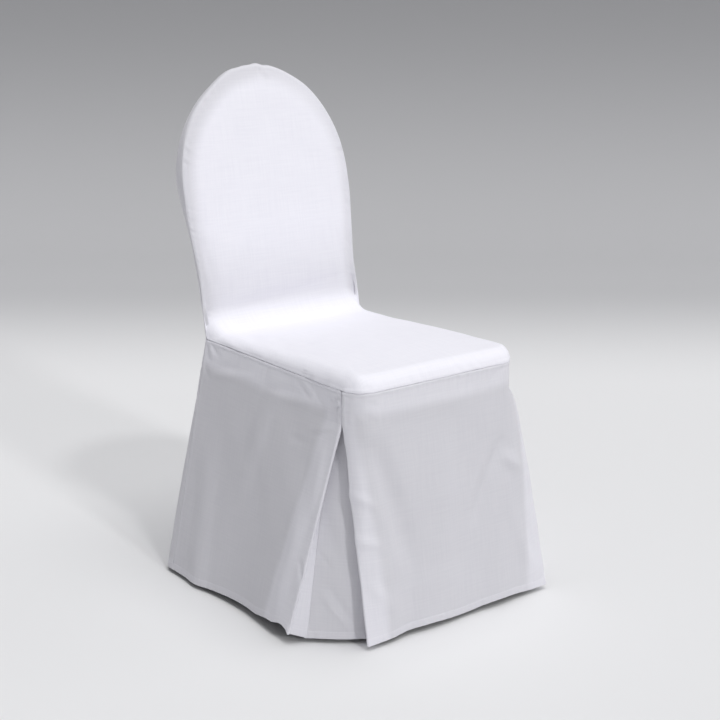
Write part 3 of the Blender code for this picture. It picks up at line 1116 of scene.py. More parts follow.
    def laid_out(self, points: np.ndarray, places: np.ndarray) -> tuple[np.ndarray, np.ndarray, np.ndarray]:
        """The whole sheet, with its hem and its seam allowances.

        Args:
            points: the grid of points on the panel itself.
            places: where each lies on the cut panel, and how far it is backed, less any painted shade.

        Returns:
            The sheet's vertices, their places on the cut panel and their backing with any painted shade, and
            its quads, of which those of the panel itself come first, row by row.
        """
        rows, columns = points.shape[:2]
        normals = self.normals(points)
        grid = points
        cut_grid = places
        if self.hemmed:
            hem = self.hem_turned_up(points, normals)
            steps_below = np.arange(1, len(hem) + 1)[:, None, None]
            below = places[-1] + steps_below * np.array([0.0, self.hem_step, 0.0])
            grid = np.concatenate([points, hem])
            cut_grid = np.concatenate([places, below])
        index = np.arange(grid.shape[0] * columns).reshape(-1, columns)
        cells = np.stack([index[:-1, :-1], index[1:, :-1], index[1:, 1:], index[:-1, 1:]], axis=2)
        quads = [cells.reshape(-1, 4)]
        vertices = [grid.reshape(-1, 3)]
        cut_places = [cut_grid.reshape(-1, 3)]
        line = self.sewn(rows, columns)
        if line:
            ring = index[line.rows, line.columns]
            made = index.size
            for step, turned in enumerate(self.allowance_rings(points, normals, line)):
                fresh = made + np.arange(len(ring))
                made += len(ring)
                pair = np.stack([ring, np.roll(ring, -1), np.roll(fresh, -1), fresh], axis=1)
                quads.append(pair if line.closed else pair[:-1])
                vertices.append(turned)
                turned_by = self.hem_step * (step + 1)
                cut_places.append(places[line.rows, line.columns] + np.array([turned_by, turned_by, 0.0]))
                ring = fresh
        return np.concatenate(vertices), np.concatenate(cut_places), np.concatenate(quads)

    def sheet_mesh(self, points: np.ndarray, places: np.ndarray) -> bpy.types.Mesh:
        """The sheet's mesh, its faces out, its cut places as a UV map and its backing, with any painted
        shade, as an attribute.

        Args:
            points: the grid of points on the panel itself.
            places: where each lies on the cut panel, and how far it is backed, less any painted shade.

        Returns:
            The mesh.
        """
        vertices, cut_places, quads = self.laid_out(points, places)
        rows, columns = points.shape[:2]
        middle = (rows // 2) * (columns - 1) + columns // 2
        mesh = bpy.data.meshes.new(self.node + "_cloth")
        mesh.from_pydata(vertices.tolist(), [], quads.tolist())
        shape = bmesh.new()
        shape.from_mesh(mesh)
        bmesh.ops.recalc_face_normals(shape, faces=shape.faces)
        shape.faces.ensure_lookup_table()
        if shape.faces[middle].normal.dot(Vector(self.outward())) < 0.0:
            bmesh.ops.reverse_faces(shape, faces=shape.faces)
        shape.to_mesh(mesh)
        shape.free()
        corner = np.empty(len(mesh.loops), dtype=int)
        mesh.loops.foreach_get("vertex_index", corner)
        layer = mesh.uv_layers.new(name="cut")
        layer.uv.foreach_set("vector", cut_places[corner, :2].astype(np.float32).ravel())
        backing_and_painted_shade = mesh.attributes.new("backing_and_painted_shade", "FLOAT", "POINT")
        backing_and_painted_shade.data.foreach_set("value", cut_places[:, 2].astype(np.float32))
        mesh.shade_smooth()
        mesh.materials.append(self.cloth)
        return mesh

    def hem_stitches(self, points: np.ndarray) -> list[bpy.types.Object]:
        """The stitches along the top of the hem, if there is one.

        Args:
            points: the grid of points on the panel itself.

        Returns:
            One object, or none.
        """
        if not self.hemmed:
            return []
        row = len(points) - 1 - self.hem_rows
        stitching = HemStitching(self.node + "_hem_stitching", self.thread)
        return [stitching.build(points[row], self.normals(points)[row])]

    def build(self) -> list[bpy.types.Object]:
        """Returns:
            The sheet, and the stitches if it has a hem.
        """
        plain = self.surface()
        across, down = self.measured(plain)
        from_hem = down[-1:] - down
        height = self.relief(plain, across, down)
        height = height + self.waviness * unevenness(across, down, self.wave_pitch, self.seed)
        if self.hemmed:
            height = height + self.hem_relief(from_hem, across)
        points = plain + self.normals(plain) * height[:, :, None] - self.cut.hold
        backing_and_painted_shade = np.broadcast_to(self.backing_and_painted_shade(plain, from_hem), across.shape)
        places = np.stack([across, down - down[self.straight_row()], backing_and_painted_shade], axis=2)
        mesh = self.sheet_mesh(points, places)
        sheet = placed(mesh.name, mesh)
        solid = sheet.modifiers.new("Cloth thickness", "SOLIDIFY")
        solid.thickness = self.thickness
        solid.offset = -1.0
        stitches = self.hem_stitches(points)
        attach(sheet, BODY)
        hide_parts(self.node)
        self.hold.value
        return [sheet] + stitches

    def hem_relief(self, from_hem: np.ndarray, along: np.ndarray) -> np.ndarray:
        """The doubled band of a hem, its line of stitching, and the small gathers that it draws.

        Args:
            from_hem: metres up from the hem.
            along: metres along it.

        Returns:
            The height at each place.
        """
        band = self.hem_raise * past_edge(self.hem_band - from_hem, self.hem_raised_over)
        gathers = HEM_PUCKERS.field(along, from_hem, self.seed + HEM_DRAW)
        return band + ridged(HEM_DENT, from_hem - self.hem_band) + gathers

    def seam_relief(self, away: np.ndarray, along: np.ndarray, height: float, seed: int) -> np.ndarray:
        """The cloth beside a seam: a small roll over the allowance, and puckers.

        Args:
            away: distance from the seam.
            along: distance along it.
            height: how high the puckers are.
            seed: which of the many such puckers.

        Returns:
            The height at each place.
        """
        puckers = SEAM_PUCKERS.field(along, away, seed)
        puckers = puckers + FINE_SEAM_PUCKERS.field(along, away, seed + FINE_DRAW)
        return ridged(SEAM_ROLL, away) + height * loose(away, self.held_beside_seam) * puckers


@dataclass
class InsidePanel(Panel):
    """The one panel over the seat, round the bend and up the inside of the back.

    Its creases on the back are placed by x and z, and those on the seat by x and y.
    """

    hold: Hold = Hold.STRETCHED
    hemmed: bool = False
    shoulder_rows: int = 20
    seat_rows: int = 66
    bend_rows: int = 34
    back_rows: int = 150
    columns: int = 150
    # Painted shade on the back: a band beside its outline and a patch just above its foot are drawn greyer.
    border: float = 30.0 * MM
    border_painted_shade: float = 0.72
    foot_z: float = 0.530
    foot_reach: float = 0.130
    foot_painted_shade: float = 0.42
    dart_y: float = -0.084
    dart_length: float = 22.0 * MM
    dart_depth: float = 1.4 * MM
    dart_width: float = 1.5 * MM
    dart_fades: float = 6.0 * MM
    gathered_to_y: float = -0.205
    gathered_fades_front: float = 20.0 * MM
    gathered_fades_rear: float = 8.0 * MM
    seat_puckers: float = 0.6 * MM
    back_puckers: float = 0.9 * MM
    back_from_z: float = 0.475
    back_within: float = 0.030
    trough_in_left: float = 23.0 * MM
    trough_in_right: float = 13.0 * MM
    trough_turns_x: float = 0.100
    trough_low: float = 3.4 * MM
    trough_high: float = 0.7 * MM
    trough_fades_z: float = 0.580
    trough_fades: float = 0.240
    trough_width: float = 0.60
    cushion_up: float = 0.9 * MM
    cushion_up_in: float = 34.0 * MM
    # Where the painted shade on the back starts, and how much less of it lies on the right.
    painted_shade_in: float = 7.0 * MM
    painted_shade_eased_right: float = 0.45
    painted_shade_eases_from_x: float = -0.05
    painted_shade_eases_over: float = 0.20
    painted_shade_from_z: float = 0.480
    seat_creases: Sequence[Crease] = (
        Crease((-0.124, -0.138), (-0.146, -0.172), (-0.163, -0.213), 3.0 * MM, -0.7 * MM),
        Crease((-0.150, -0.120), (-0.156, -0.160), (-0.150, -0.196), 8.0 * MM, 0.8 * MM),
        Crease((0.060, 0.150), (-0.020, 0.020), (-0.060, -0.130), 30.0 * MM, -1.0 * MM),
        Crease((0.120, -0.080), (0.126, -0.150), (0.150, -0.205), 10.0 * MM, -0.8 * MM),
    )
    back_creases: Sequence[Crease] = (
        Crease((-0.172, 0.503), (-0.053, 0.507), (0.150, 0.519), 13.0 * MM, -2.6 * MM),
        Crease((-0.165, 0.532), (-0.020, 0.534), (0.150, 0.545), 15.0 * MM, 1.8 * MM),
        Crease((0.040, 0.521), (0.100, 0.530), (0.158, 0.536), 5.0 * MM, -0.9 * MM),
        Crease((-0.166, 0.640), (-0.158, 0.590), (-0.148, 0.545), 10.0 * MM, -1.6 * MM),
        Crease((0.138, 0.640), (0.146, 0.590), (0.158, 0.537), 9.0 * MM, -1.4 * MM),
        Crease((-0.010, 0.640), (0.010, 0.720), (-0.020, 0.800), 40.0 * MM, 1.0 * MM),
        Crease((0.006, 0.936), (0.008, 0.930), (0.010, 0.920), 5.0 * MM, -1.2 * MM),
        Crease((0.022, 0.934), (0.024, 0.926), (0.026, 0.916), 6.0 * MM, 1.0 * MM),
    )

    def stretches(self) -> np.ndarray:
        """Row places: 0 to 1 down the back, to 2 round the bend, to 3 along the seat, to 4 over its edge."""
        counts = (self.back_rows, self.bend_rows, self.seat_rows, self.shoulder_rows)
        return np.concatenate([[0.0]] + [np.linspace(k, k + 1.0, n + 1)[1:] for k, n in enumerate(counts)])

    def surface(self) -> np.ndarray:
        """The panel's plain surface, from the oval top down to the front seam."""
        cut = self.cut
        u = np.sin(np.linspace(-0.5, 0.5, self.columns + 1) * math.pi)[None, :]
        at = self.stretches()[:, None]
        rise = rounded((1.0 - np.abs(u)) * cut.seat_half_front / cut.shoulder_in)
        front_y = cut.seat_front(u * cut.seat_half_front)
        bend = blend(cut.side_bend, cut.middle_bend, rise)
        turn = math.pi / 2.0 - cut.lean
        bend_from_y = cut.back_y(cut.seam_back_z + cut.shoulder_back_up * rise) - bend * math.tan(turn / 2.0)
        level = cut.seam_z(bend_from_y) + cut.shoulder_back_up * rise
        bend_to_z = level + bend * (1.0 - math.sin(cut.lean))

        t = 1.0 - np.clip(at, 0.0, 1.0)
        back_z = blend(bend_to_z, cut.back_top(u), 0.5 * t + 0.5 * np.sin(t * math.pi / 2.0))
        back_x = u * cut.back_half(back_z)
        puff = cut.cushion * rounded(cut.inside_outline(back_x, back_z) / cut.cushion_in)
        back_y = cut.back_y(back_z) - puff * smooth((back_z - bend_to_z) / cut.cushion_rise)

        angle = -math.pi / 2.0 + turn * (1.0 - np.clip(at - 1.0, 0.0, 1.0))
        bend_y = bend_from_y + bend * np.cos(angle)
        bend_z = level + bend + bend * np.sin(angle)

        t = 1.0 - np.clip(at - 2.0, 0.0, 1.0)
        seat_y = blend(front_y + cut.shoulder_in, bend_from_y, t)
        up = blend(cut.shoulder_front_up, cut.shoulder_back_up, smooth(t))
        crown = cut.seat_crown * (1.0 - u * u) * np.sin(math.pi * t)
        seat_z = cut.seam_z(seat_y) + (up + crown) * rise

        angle = (1.0 - np.clip(at - 3.0, 0.0, 1.0)) * math.pi / 2.0
        edge_y = front_y + cut.shoulder_in * (1.0 - np.cos(angle))
        edge_z = cut.seam_z(edge_y) + cut.shoulder_front_up * rise * np.sin(angle)

        stretch = [at <= 1.0, at <= 2.0, at <= 3.0]
        chosen = [np.broadcast_to(part, edge_y.shape) for part in stretch]
        y = np.select(chosen, [back_y, bend_y, seat_y], edge_y)
        z = np.select(chosen, [back_z, bend_z, seat_z], edge_z)
        x = np.where(at <= 1.0, back_x, u * cut.seat_half(y))
        return np.stack([x, y, z], axis=2)

    def outward(self) -> np.ndarray:
        """Up and to the front."""
        return np.array([0.0, -0.8, 0.4])

    def backing_and_painted_shade(self, points: np.ndarray, from_hem: np.ndarray) -> np.ndarray:
        """It lies on padding; painted shade greys it in a band beside the back's outline, more on the left
        than on the right, and just above its foot.
        """
        x, z = points[:, :, 0], points[:, :, 2]
        beside = 1.0 - smooth((self.cut.inside_outline(x, z) - self.painted_shade_in) / self.border)
        right = self.painted_shade_eased_right * smooth((x - self.painted_shade_eases_from_x) / self.painted_shade_eases_over)
        low = 1.0 - smooth((z - self.foot_z) / self.foot_reach)
        painted_shade = self.border_painted_shade * beside * (1.0 - right) + self.foot_painted_shade * low
        return 1.0 - painted_shade * smooth((z - self.painted_shade_from_z) / self.back_within)

    def straight_row(self) -> int:
        """The foot of the back."""
        return self.back_rows

    def sewn(self, rows: int, columns: int) -> Optional[SewnLine]:
        """All round."""
        right, foot = columns - 1, rows - 1
        return SewnLine.through([(0, 0), (0, right), (foot, right), (foot, 0), (0, 0)], closed=True)

    def relief(self, points: np.ndarray, across: np.ndarray, down: np.ndarray) -> np.ndarray:
        """The relief of the seat, and above it that of the back."""
        x, y, z = points[:, :, 0], points[:, :, 1], points[:, :, 2]
        on_back = smooth((z - self.back_from_z) / self.back_within)
        from_side = self.from_sides(across)
        seat = self.seat_relief(x, y, from_side, np.minimum(from_side, down[-1:] - down))
        return blend(seat, self.back_relief(x, z), on_back)

    def back_relief(self, x: np.ndarray, z: np.ndarray) -> np.ndarray:
        """The sunken border of the back's cushion, the puckers beside its outline, and its creases.

        Args:
            x: places across.
            z: heights above the floor.

        Returns:
            The height of the relief at each place.
        """
        away = np.maximum(self.cut.inside_outline(x, z), 0.0)
        rightward = smooth((x + self.trough_turns_x) / (2.0 * self.trough_turns_x))
        trough_in = blend(self.trough_in_left, self.trough_in_right, rightward)
        deep = blend(self.trough_low, self.trough_high, smooth((z - self.trough_fades_z) / self.trough_fades))
        trough = -deep * bell((away - trough_in) / (self.trough_width * trough_in))
        cushion = self.cushion_up * smooth((away - trough_in) / self.cushion_up_in)
        puckers = self.seam_relief(away, self.cut.along_outline(x, z), self.back_puckers, self.seed)
        return trough + cushion + puckers + creased(self.back_creases, x, z)

    def seat_relief(
        self, x: np.ndarray, y: np.ndarray, from_side: np.ndarray, from_seam: np.ndarray
    ) -> np.ndarray:
        """The darts and gathers at the seat's sides, the puckers beside its seam, and its creases.

        Args:
            x: places across.
            y: depths.
            from_side: metres from the nearer side.
            from_seam: metres from the nearest seam.

        Returns:
            The height of the relief at each place.
        """
        front = smooth((y - self.gathered_to_y) / self.gathered_fades_front)
        rear = smooth((self.dart_y - y) / self.gathered_fades_rear)
        gathers = SEAT_GATHERS.field(y, from_side, self.seed + GATHERED_DRAW) * front * rear
        dart = bell((y - self.dart_y) / self.dart_width)
        dart = dart * smooth((self.dart_length - from_side) / self.dart_fades)
        seams = self.seam_relief(from_seam, y + x, self.seat_puckers, self.seed + SEAT_DRAW)
        seams = seams + gathers * loose(from_side, self.held_beside_seam)
        return seams - self.dart_depth * dart + creased(self.seat_creases, x, y)


@dataclass
class OutsidePanel(Panel):
    """The one panel that covers the rear, from the oval top to the hem, and wraps the sides of the back.

    Its creases are placed by x and z.
    """

    skirt_rows: int = 92
    pocket_rows: int = 118
    side_backing: float = 0.15
    side_reach: float = 40.0 * MM
    padded_from_z: float = 0.350
    padded_within: float = 0.120
    puckers: float = 0.9 * MM
    creased_in: float = 25.0 * MM
    creased_within: float = 30.0 * MM
    top_drawn_in: float = 0.30
    top_drawn_over: float = 0.14
    columns: int = 136
    creases: Sequence[Crease] = (
        Crease((-0.160, 0.640), (0.000, 0.560), (0.150, 0.520), 22.0 * MM, -2.2 * MM),
        Crease((0.160, 0.610), (0.020, 0.500), (-0.130, 0.450), 20.0 * MM, 1.8 * MM),
        Crease((-0.120, 0.440), (-0.150, 0.300), (-0.190, 0.100), 24.0 * MM, 2.5 * MM),
        Crease((0.090, 0.400), (0.120, 0.240), (0.150, 0.060), 26.0 * MM, -2.5 * MM),
        Crease((-0.100, 0.870), (-0.020, 0.820), (0.110, 0.850), 30.0 * MM, -1.2 * MM),
    )

    def surface(self) -> np.ndarray:
        """The panel's plain surface, from the oval top to the hem."""
        cut = self.cut
        u = np.sin(np.linspace(-0.5, 0.5, self.columns + 1) * math.pi)[None, :]
        high = np.linspace(1.0, 0.0, self.pocket_rows + 1)[:, None]
        z = blend(cut.seam_back_z, cut.back_top(u), np.sin(high * math.pi / 2.0))
        x = u * cut.back_half(z)
        full = smooth((z - cut.pocket_tucked_z) / (cut.pocket_full_z - cut.pocket_tucked_z))
        depth = cut.pocket_depth * (1.0 - self.top_drawn_in * smooth((z - cut.oval_z) / self.top_drawn_over))
        edge_y = cut.back_y(z) + cut.pocket_behind
        pocket = self.wrapped(x, z, edge_y, depth, cut.inside_outline(x, z), full)

        low = spaced(self.skirt_rows, cut.seam_back_z, [], [self.hem_step] * (self.hem_rows + 3))[1:, None]
        z = blend(cut.seam_back_z, hem_height(cut, REAR_LIFTS, (u + 1.0) / 2.0), low)
        half = blend(cut.seat_half_back, cut.rear_half_hem, low)
        edge_y = blend(cut.pocket_foot_y, cut.rear_edge_hem_y, low)
        depth = blend(cut.pocket_depth, cut.rear_depth_hem, low)
        depth = depth + folded_out(REAR_FOLDS, (u + 1.0) / 2.0, low)
        skirt = self.wrapped(u * half, z, edge_y, depth, (1.0 - np.abs(u)) * half, smooth(low))
        return np.concatenate([pocket, skirt])

    def wrapped(
        self,
        x: np.ndarray,
        z: np.ndarray,
        edge_y: np.ndarray,
        depth: np.ndarray,
        inward: np.ndarray,
        full: np.ndarray,
    ) -> np.ndarray:
        """Points that wrap from an edge round to the rear.

        Args:
            x: places across.
            z: heights.
            edge_y: depth of the edge that they start from.
            depth: how far behind it the rear lies.
            inward: distance in from the edge.
            full: 1 where the wrap is boxy, 0 where it slopes.

        Returns:
            The points.
        """
        cut = self.cut
        wall = blend(cut.pocket_wall_low, cut.pocket_wall, full)
        turn = blend(cut.pocket_low_round, cut.pocket_round, full)
        y = edge_y + depth * rounded(inward / turn, wall)
        x, y, z = np.broadcast_arrays(x, y, z)
        return np.stack([x, y, z], axis=2)

    def outward(self) -> np.ndarray:
        """To the rear."""
        return np.array([0.0, 1.0, 0.0])

    def backing_and_painted_shade(self, points: np.ndarray, from_hem: np.ndarray) -> np.ndarray:
        """Padding backs the pocket, but for its sides, and nothing the skirt below it."""
        x, z = points[:, :, 0], points[:, :, 2]
        inward = np.maximum(self.cut.inside_outline(x, z), 0.0)
        padded = smooth((z - self.padded_from_z) / self.padded_within)
        padded = padded * blend(self.side_backing, 1.0, smooth(inward / self.side_reach))
        return np.maximum(padded, super().backing_and_painted_shade(points, from_hem))

    def straight_row(self) -> int:
        """The height of the seat seam."""
        return self.pocket_rows

    def sewn(self, rows: int, columns: int) -> Optional[SewnLine]:
        """Up the left side, over the top and down the right."""
        return SewnLine.through([(rows - 1, 0), (0, 0), (0, columns - 1), (rows - 1, columns - 1)])

    def relief(self, points: np.ndarray, across: np.ndarray, down: np.ndarray) -> np.ndarray:
        """The puckers beside the seams, and the creases away from them."""
        x, z = points[:, :, 0], points[:, :, 2]
        away = np.minimum(self.from_sides(across), down)
        seams = self.seam_relief(away, self.cut.along_outline(x, z), self.puckers, self.seed)
        return seams + smooth((away - self.creased_in) / self.creased_within) * creased(self.creases, x, z)


@dataclass
class Skirt(Panel):
    """A panel that hangs from the seat seam to the floor."""

    rows: int = 84
    seam_rows: int = 8
    seam_step: float = 1.1 * MM
    spare_hem_rows: int = 3
    creases: Sequence[Crease] = ()

    def down_places(self) -> np.ndarray:
        """Places from the seam (0) to the hem (1), with fine steps at both."""
        seam_steps = [self.seam_step] * self.seam_rows
        hem_steps = [self.hem_step] * (self.hem_rows + self.spare_hem_rows)
        return spaced(self.rows, self.cut.seam_front_z, seam_steps, hem_steps)[:, None]

    def pleat_seam(self, at_top: Plan, at_hem: Plan, side: Side, opening: np.ndarray) -> np.ndarray:
        """A seam behind a pleat.

        Args:
            at_top: where it starts, as on the right.
            at_hem: where it ends.
            side: the pleat's side of the cover.
            opening: how far the pleat has opened at each row.

        Returns:
            Its plan point at each row.
        """
        top = at_top.mirrored(side)
        return np.stack([blend(top.x, at_hem.x, opening), blend(top.y, at_hem.y, opening)], axis=1)


@dataclass
class FoldedSkirt(Skirt):
    """A skirt whose face is folded under at the front pleats.

    doubled_top and doubled_hem say how far the folded-under cloth reaches behind the face.
    """

    turn_columns: int = 8
    return_columns: int = 16
    fold_columns: int = 4
    fold_step: float = 1.5 * MM
    face_fades: float = 6.0
    rim_z: float = 0.407
    rim_over: float = 22.0 * MM
    rim_backing: float = 0.32
    fold_backing: float = 0.42
    doubled_top: float = 24.0 * MM
    doubled_hem: float = 46.0 * MM
    doubled_over: float = 20.0 * MM
    seat_puckers: float = 0.8 * MM
    corner_closes: float = 4.0 * MM
    held_beside_corner: float = 2.5 * MM

    @property
    def folded_columns(self) -> int:
        """How many columns lie round a fold edge and behind the face."""
        return self.turn_columns + self.return_columns

    def face(self, along: np.ndarray, down: np.ndarray) -> tuple[np.ndarray, np.ndarray, np.ndarray]:
        """The face of the skirt.

        Args:
            along: places along it, from 0 to 1.
            down: places from the seam (0) to the hem (1).

        Returns:
            x, y and z at each place.
        """
        raise NotImplementedError

    def from_fold(self, across: np.ndarray) -> np.ndarray:
        """Metres from the nearest fold edge, at places across the panel."""
        raise NotImplementedError

    def backing_and_painted_shade(self, points: np.ndarray, from_hem: np.ndarray) -> np.ndarray:
        """Cloth backs the hem and the folded edges, and padding the top, over whose edge it is drawn."""
        across, _ = self.measured(points)
        z = points[:, :, 2]
        reach = blend(self.doubled_top, self.doubled_hem, self.cut.pleat_opening(z))
        beyond = reach - np.abs(self.from_fold(across))
        doubled = self.fold_backing * past_edge(beyond, self.doubled_over)
        rim = self.rim_backing * past_edge(z - self.rim_z, self.rim_over)
        return np.maximum(np.maximum(doubled, super().backing_and_painted_shade(points, from_hem)), rim)

    def corner_relief(self, z: np.ndarray, from_fold: np.ndarray) -> np.ndarray:
        """The gathers beside the short seam that closes the top of a front corner.

        Args:
            z: heights above the floor.
            from_fold: metres from the fold edge.

        Returns:
            The height of the relief at each place.
        """
        closed = past_edge(z - self.cut.pleat_top_z, 2.0 * self.corner_closes)
        gathers = CORNER_PUCKERS.field(z, from_fold, self.seed + CORNER_DRAW)
        return closed * (ridged(CORNER_ROLL, from_fold) + loose(from_fold, self.held_beside_corner) * gathers)

    def on_face(self, beyond: np.ndarray) -> np.ndarray:
        """1 on the face, 0 a few columns beyond its fold edge."""
        return smooth(1.0 - beyond / self.face_fades)[None, :]

    def hung(
        self,
        top: tuple[np.ndarray, np.ndarray],
        hem: tuple[np.ndarray, np.ndarray, np.ndarray],
        near_fold: np.ndarray,
        spring: np.ndarray,
        down: np.ndarray,
    ) -> tuple[np.ndarray, np.ndarray, np.ndarray]:
        """Cloth that flares evenly from the seam to the hem, but follows a pleat's opening near its fold.

        Args:
            top: x and y at the seam.
            hem: x, y and z at the hem.
            near_fold: 1 at a fold edge, 0 away from it.
            spring: how the fold edge swings sideways.
            down: places from the seam (0) to the hem (1).

        Returns:
            x, y and z at each place.
        """
        seam_z = self.cut.seam_z(top[1])
        z = self.cut.skirt_z(down, seam_z, hem[2])
        flare = (seam_z - z) / (seam_z - self.cut.hem_z)
        opening = self.cut.pleat_opening(z)
        sideways = blend(flare, opening**spring, near_fold)
        return blend(top[0], hem[0], sideways), blend(top[1], hem[1], blend(flare, opening, near_fold)), z

    def folded_under(
        self, end: float, side: Side, seam: tuple[Plan, Plan], inward: float, down: np.ndarray
    ) -> np.ndarray:
        """The fold edge at one end of the face, and the return behind it.

        Args:
            end: where the face ends, 0 or 1.
            side: the pleat's side of the cover.
            seam: where the return's seam starts, as on the right, and where it ends at the hem.
            inward: 1 where the inside is to the left of the way to the fold edge, -1 to the right.
            down: places from the seam (0) to the hem (1).

        Returns:
            The points, row by row, out from the face.
        """
        beside = blend(end, 0.5, 2.0 * self.cut.beside_fold)
        before = np.concatenate(self.face(np.array([[beside]]), down)[:2], axis=1)
        fold_x, fold_y, fold_z = self.face(np.array([[end]]), down)
        fold = np.concatenate([fold_x, fold_y], axis=1)
        behind = self.pleat_seam(*seam, side, self.cut.pleat_opening(fold_z[:, 0]))
        plan = self.folded_edge(before, fold, behind, inward)
        return np.concatenate([plan, self.return_height(fold_z, down)], axis=2)

    def folded_edge(self, face: np.ndarray, fold: np.ndarray, seam: np.ndarray, inward: float) -> np.ndarray:
        """The plan points round a fold edge and along the return behind it.

        Args:
            face: plan points before the fold, one for each row.
            fold: plan points of the fold edge.
            seam: where the return ends.
            inward: 1 where the inside is to the left of the way from face to fold, -1 to the right.

        Returns:
            Rows of plan points, without the one on the face itself.
        """
        radius = self.cut.fold_radius
        ahead = normalised(fold - face)
        inside = inward * np.stack([-ahead[:, 1], ahead[:, 0]], axis=1)
        centre = fold - radius * ahead + radius * inside
        way = seam - centre
        heading = np.arctan2(np.sum(way * inside, axis=1), np.sum(way * ahead, axis=1))
        leaves = heading + np.arccos(np.minimum(radius / np.linalg.norm(way, axis=1), 1.0))
        turn = np.clip(leaves, self.cut.least_fold_turn, math.pi)
        shares = np.linspace(0.0, 1.0, self.turn_columns + 1)[1:]
        angle = (turn[:, None] * shares[None, :])[:, :, None]
        round_fold = np.sin(angle) * ahead[:, None] - np.cos(angle) * inside[:, None]
        round_fold = centre[:, None] + radius * round_fold
        back = np.linspace(0.0, 1.0, self.return_columns + 1)[1:][None, :, None]
        return np.concatenate([round_fold, blend(round_fold[:, -1:], seam[:, None], back)], axis=1)

    def return_height(self, fold_z: np.ndarray, down: np.ndarray) -> np.ndarray:
        """Heights round a fold edge and along its return, which comes down to the underlay's hem.

        Args:
            fold_z: heights of the fold edge, row by row.
            down: places from the seam (0) to the hem (1).

        Returns:
            The heights, row by row.
        """
        underlay_z = self.cut.skirt_z(down, self.cut.seam_front_z, self.cut.hem_z)
        along = np.linspace(0.0, 1.0, self.return_columns + 1)[1:]
        share = np.concatenate([np.zeros(self.turn_columns), along])[None, :]
        return blend(fold_z, np.minimum(underlay_z, fold_z), share)[:, :, None]


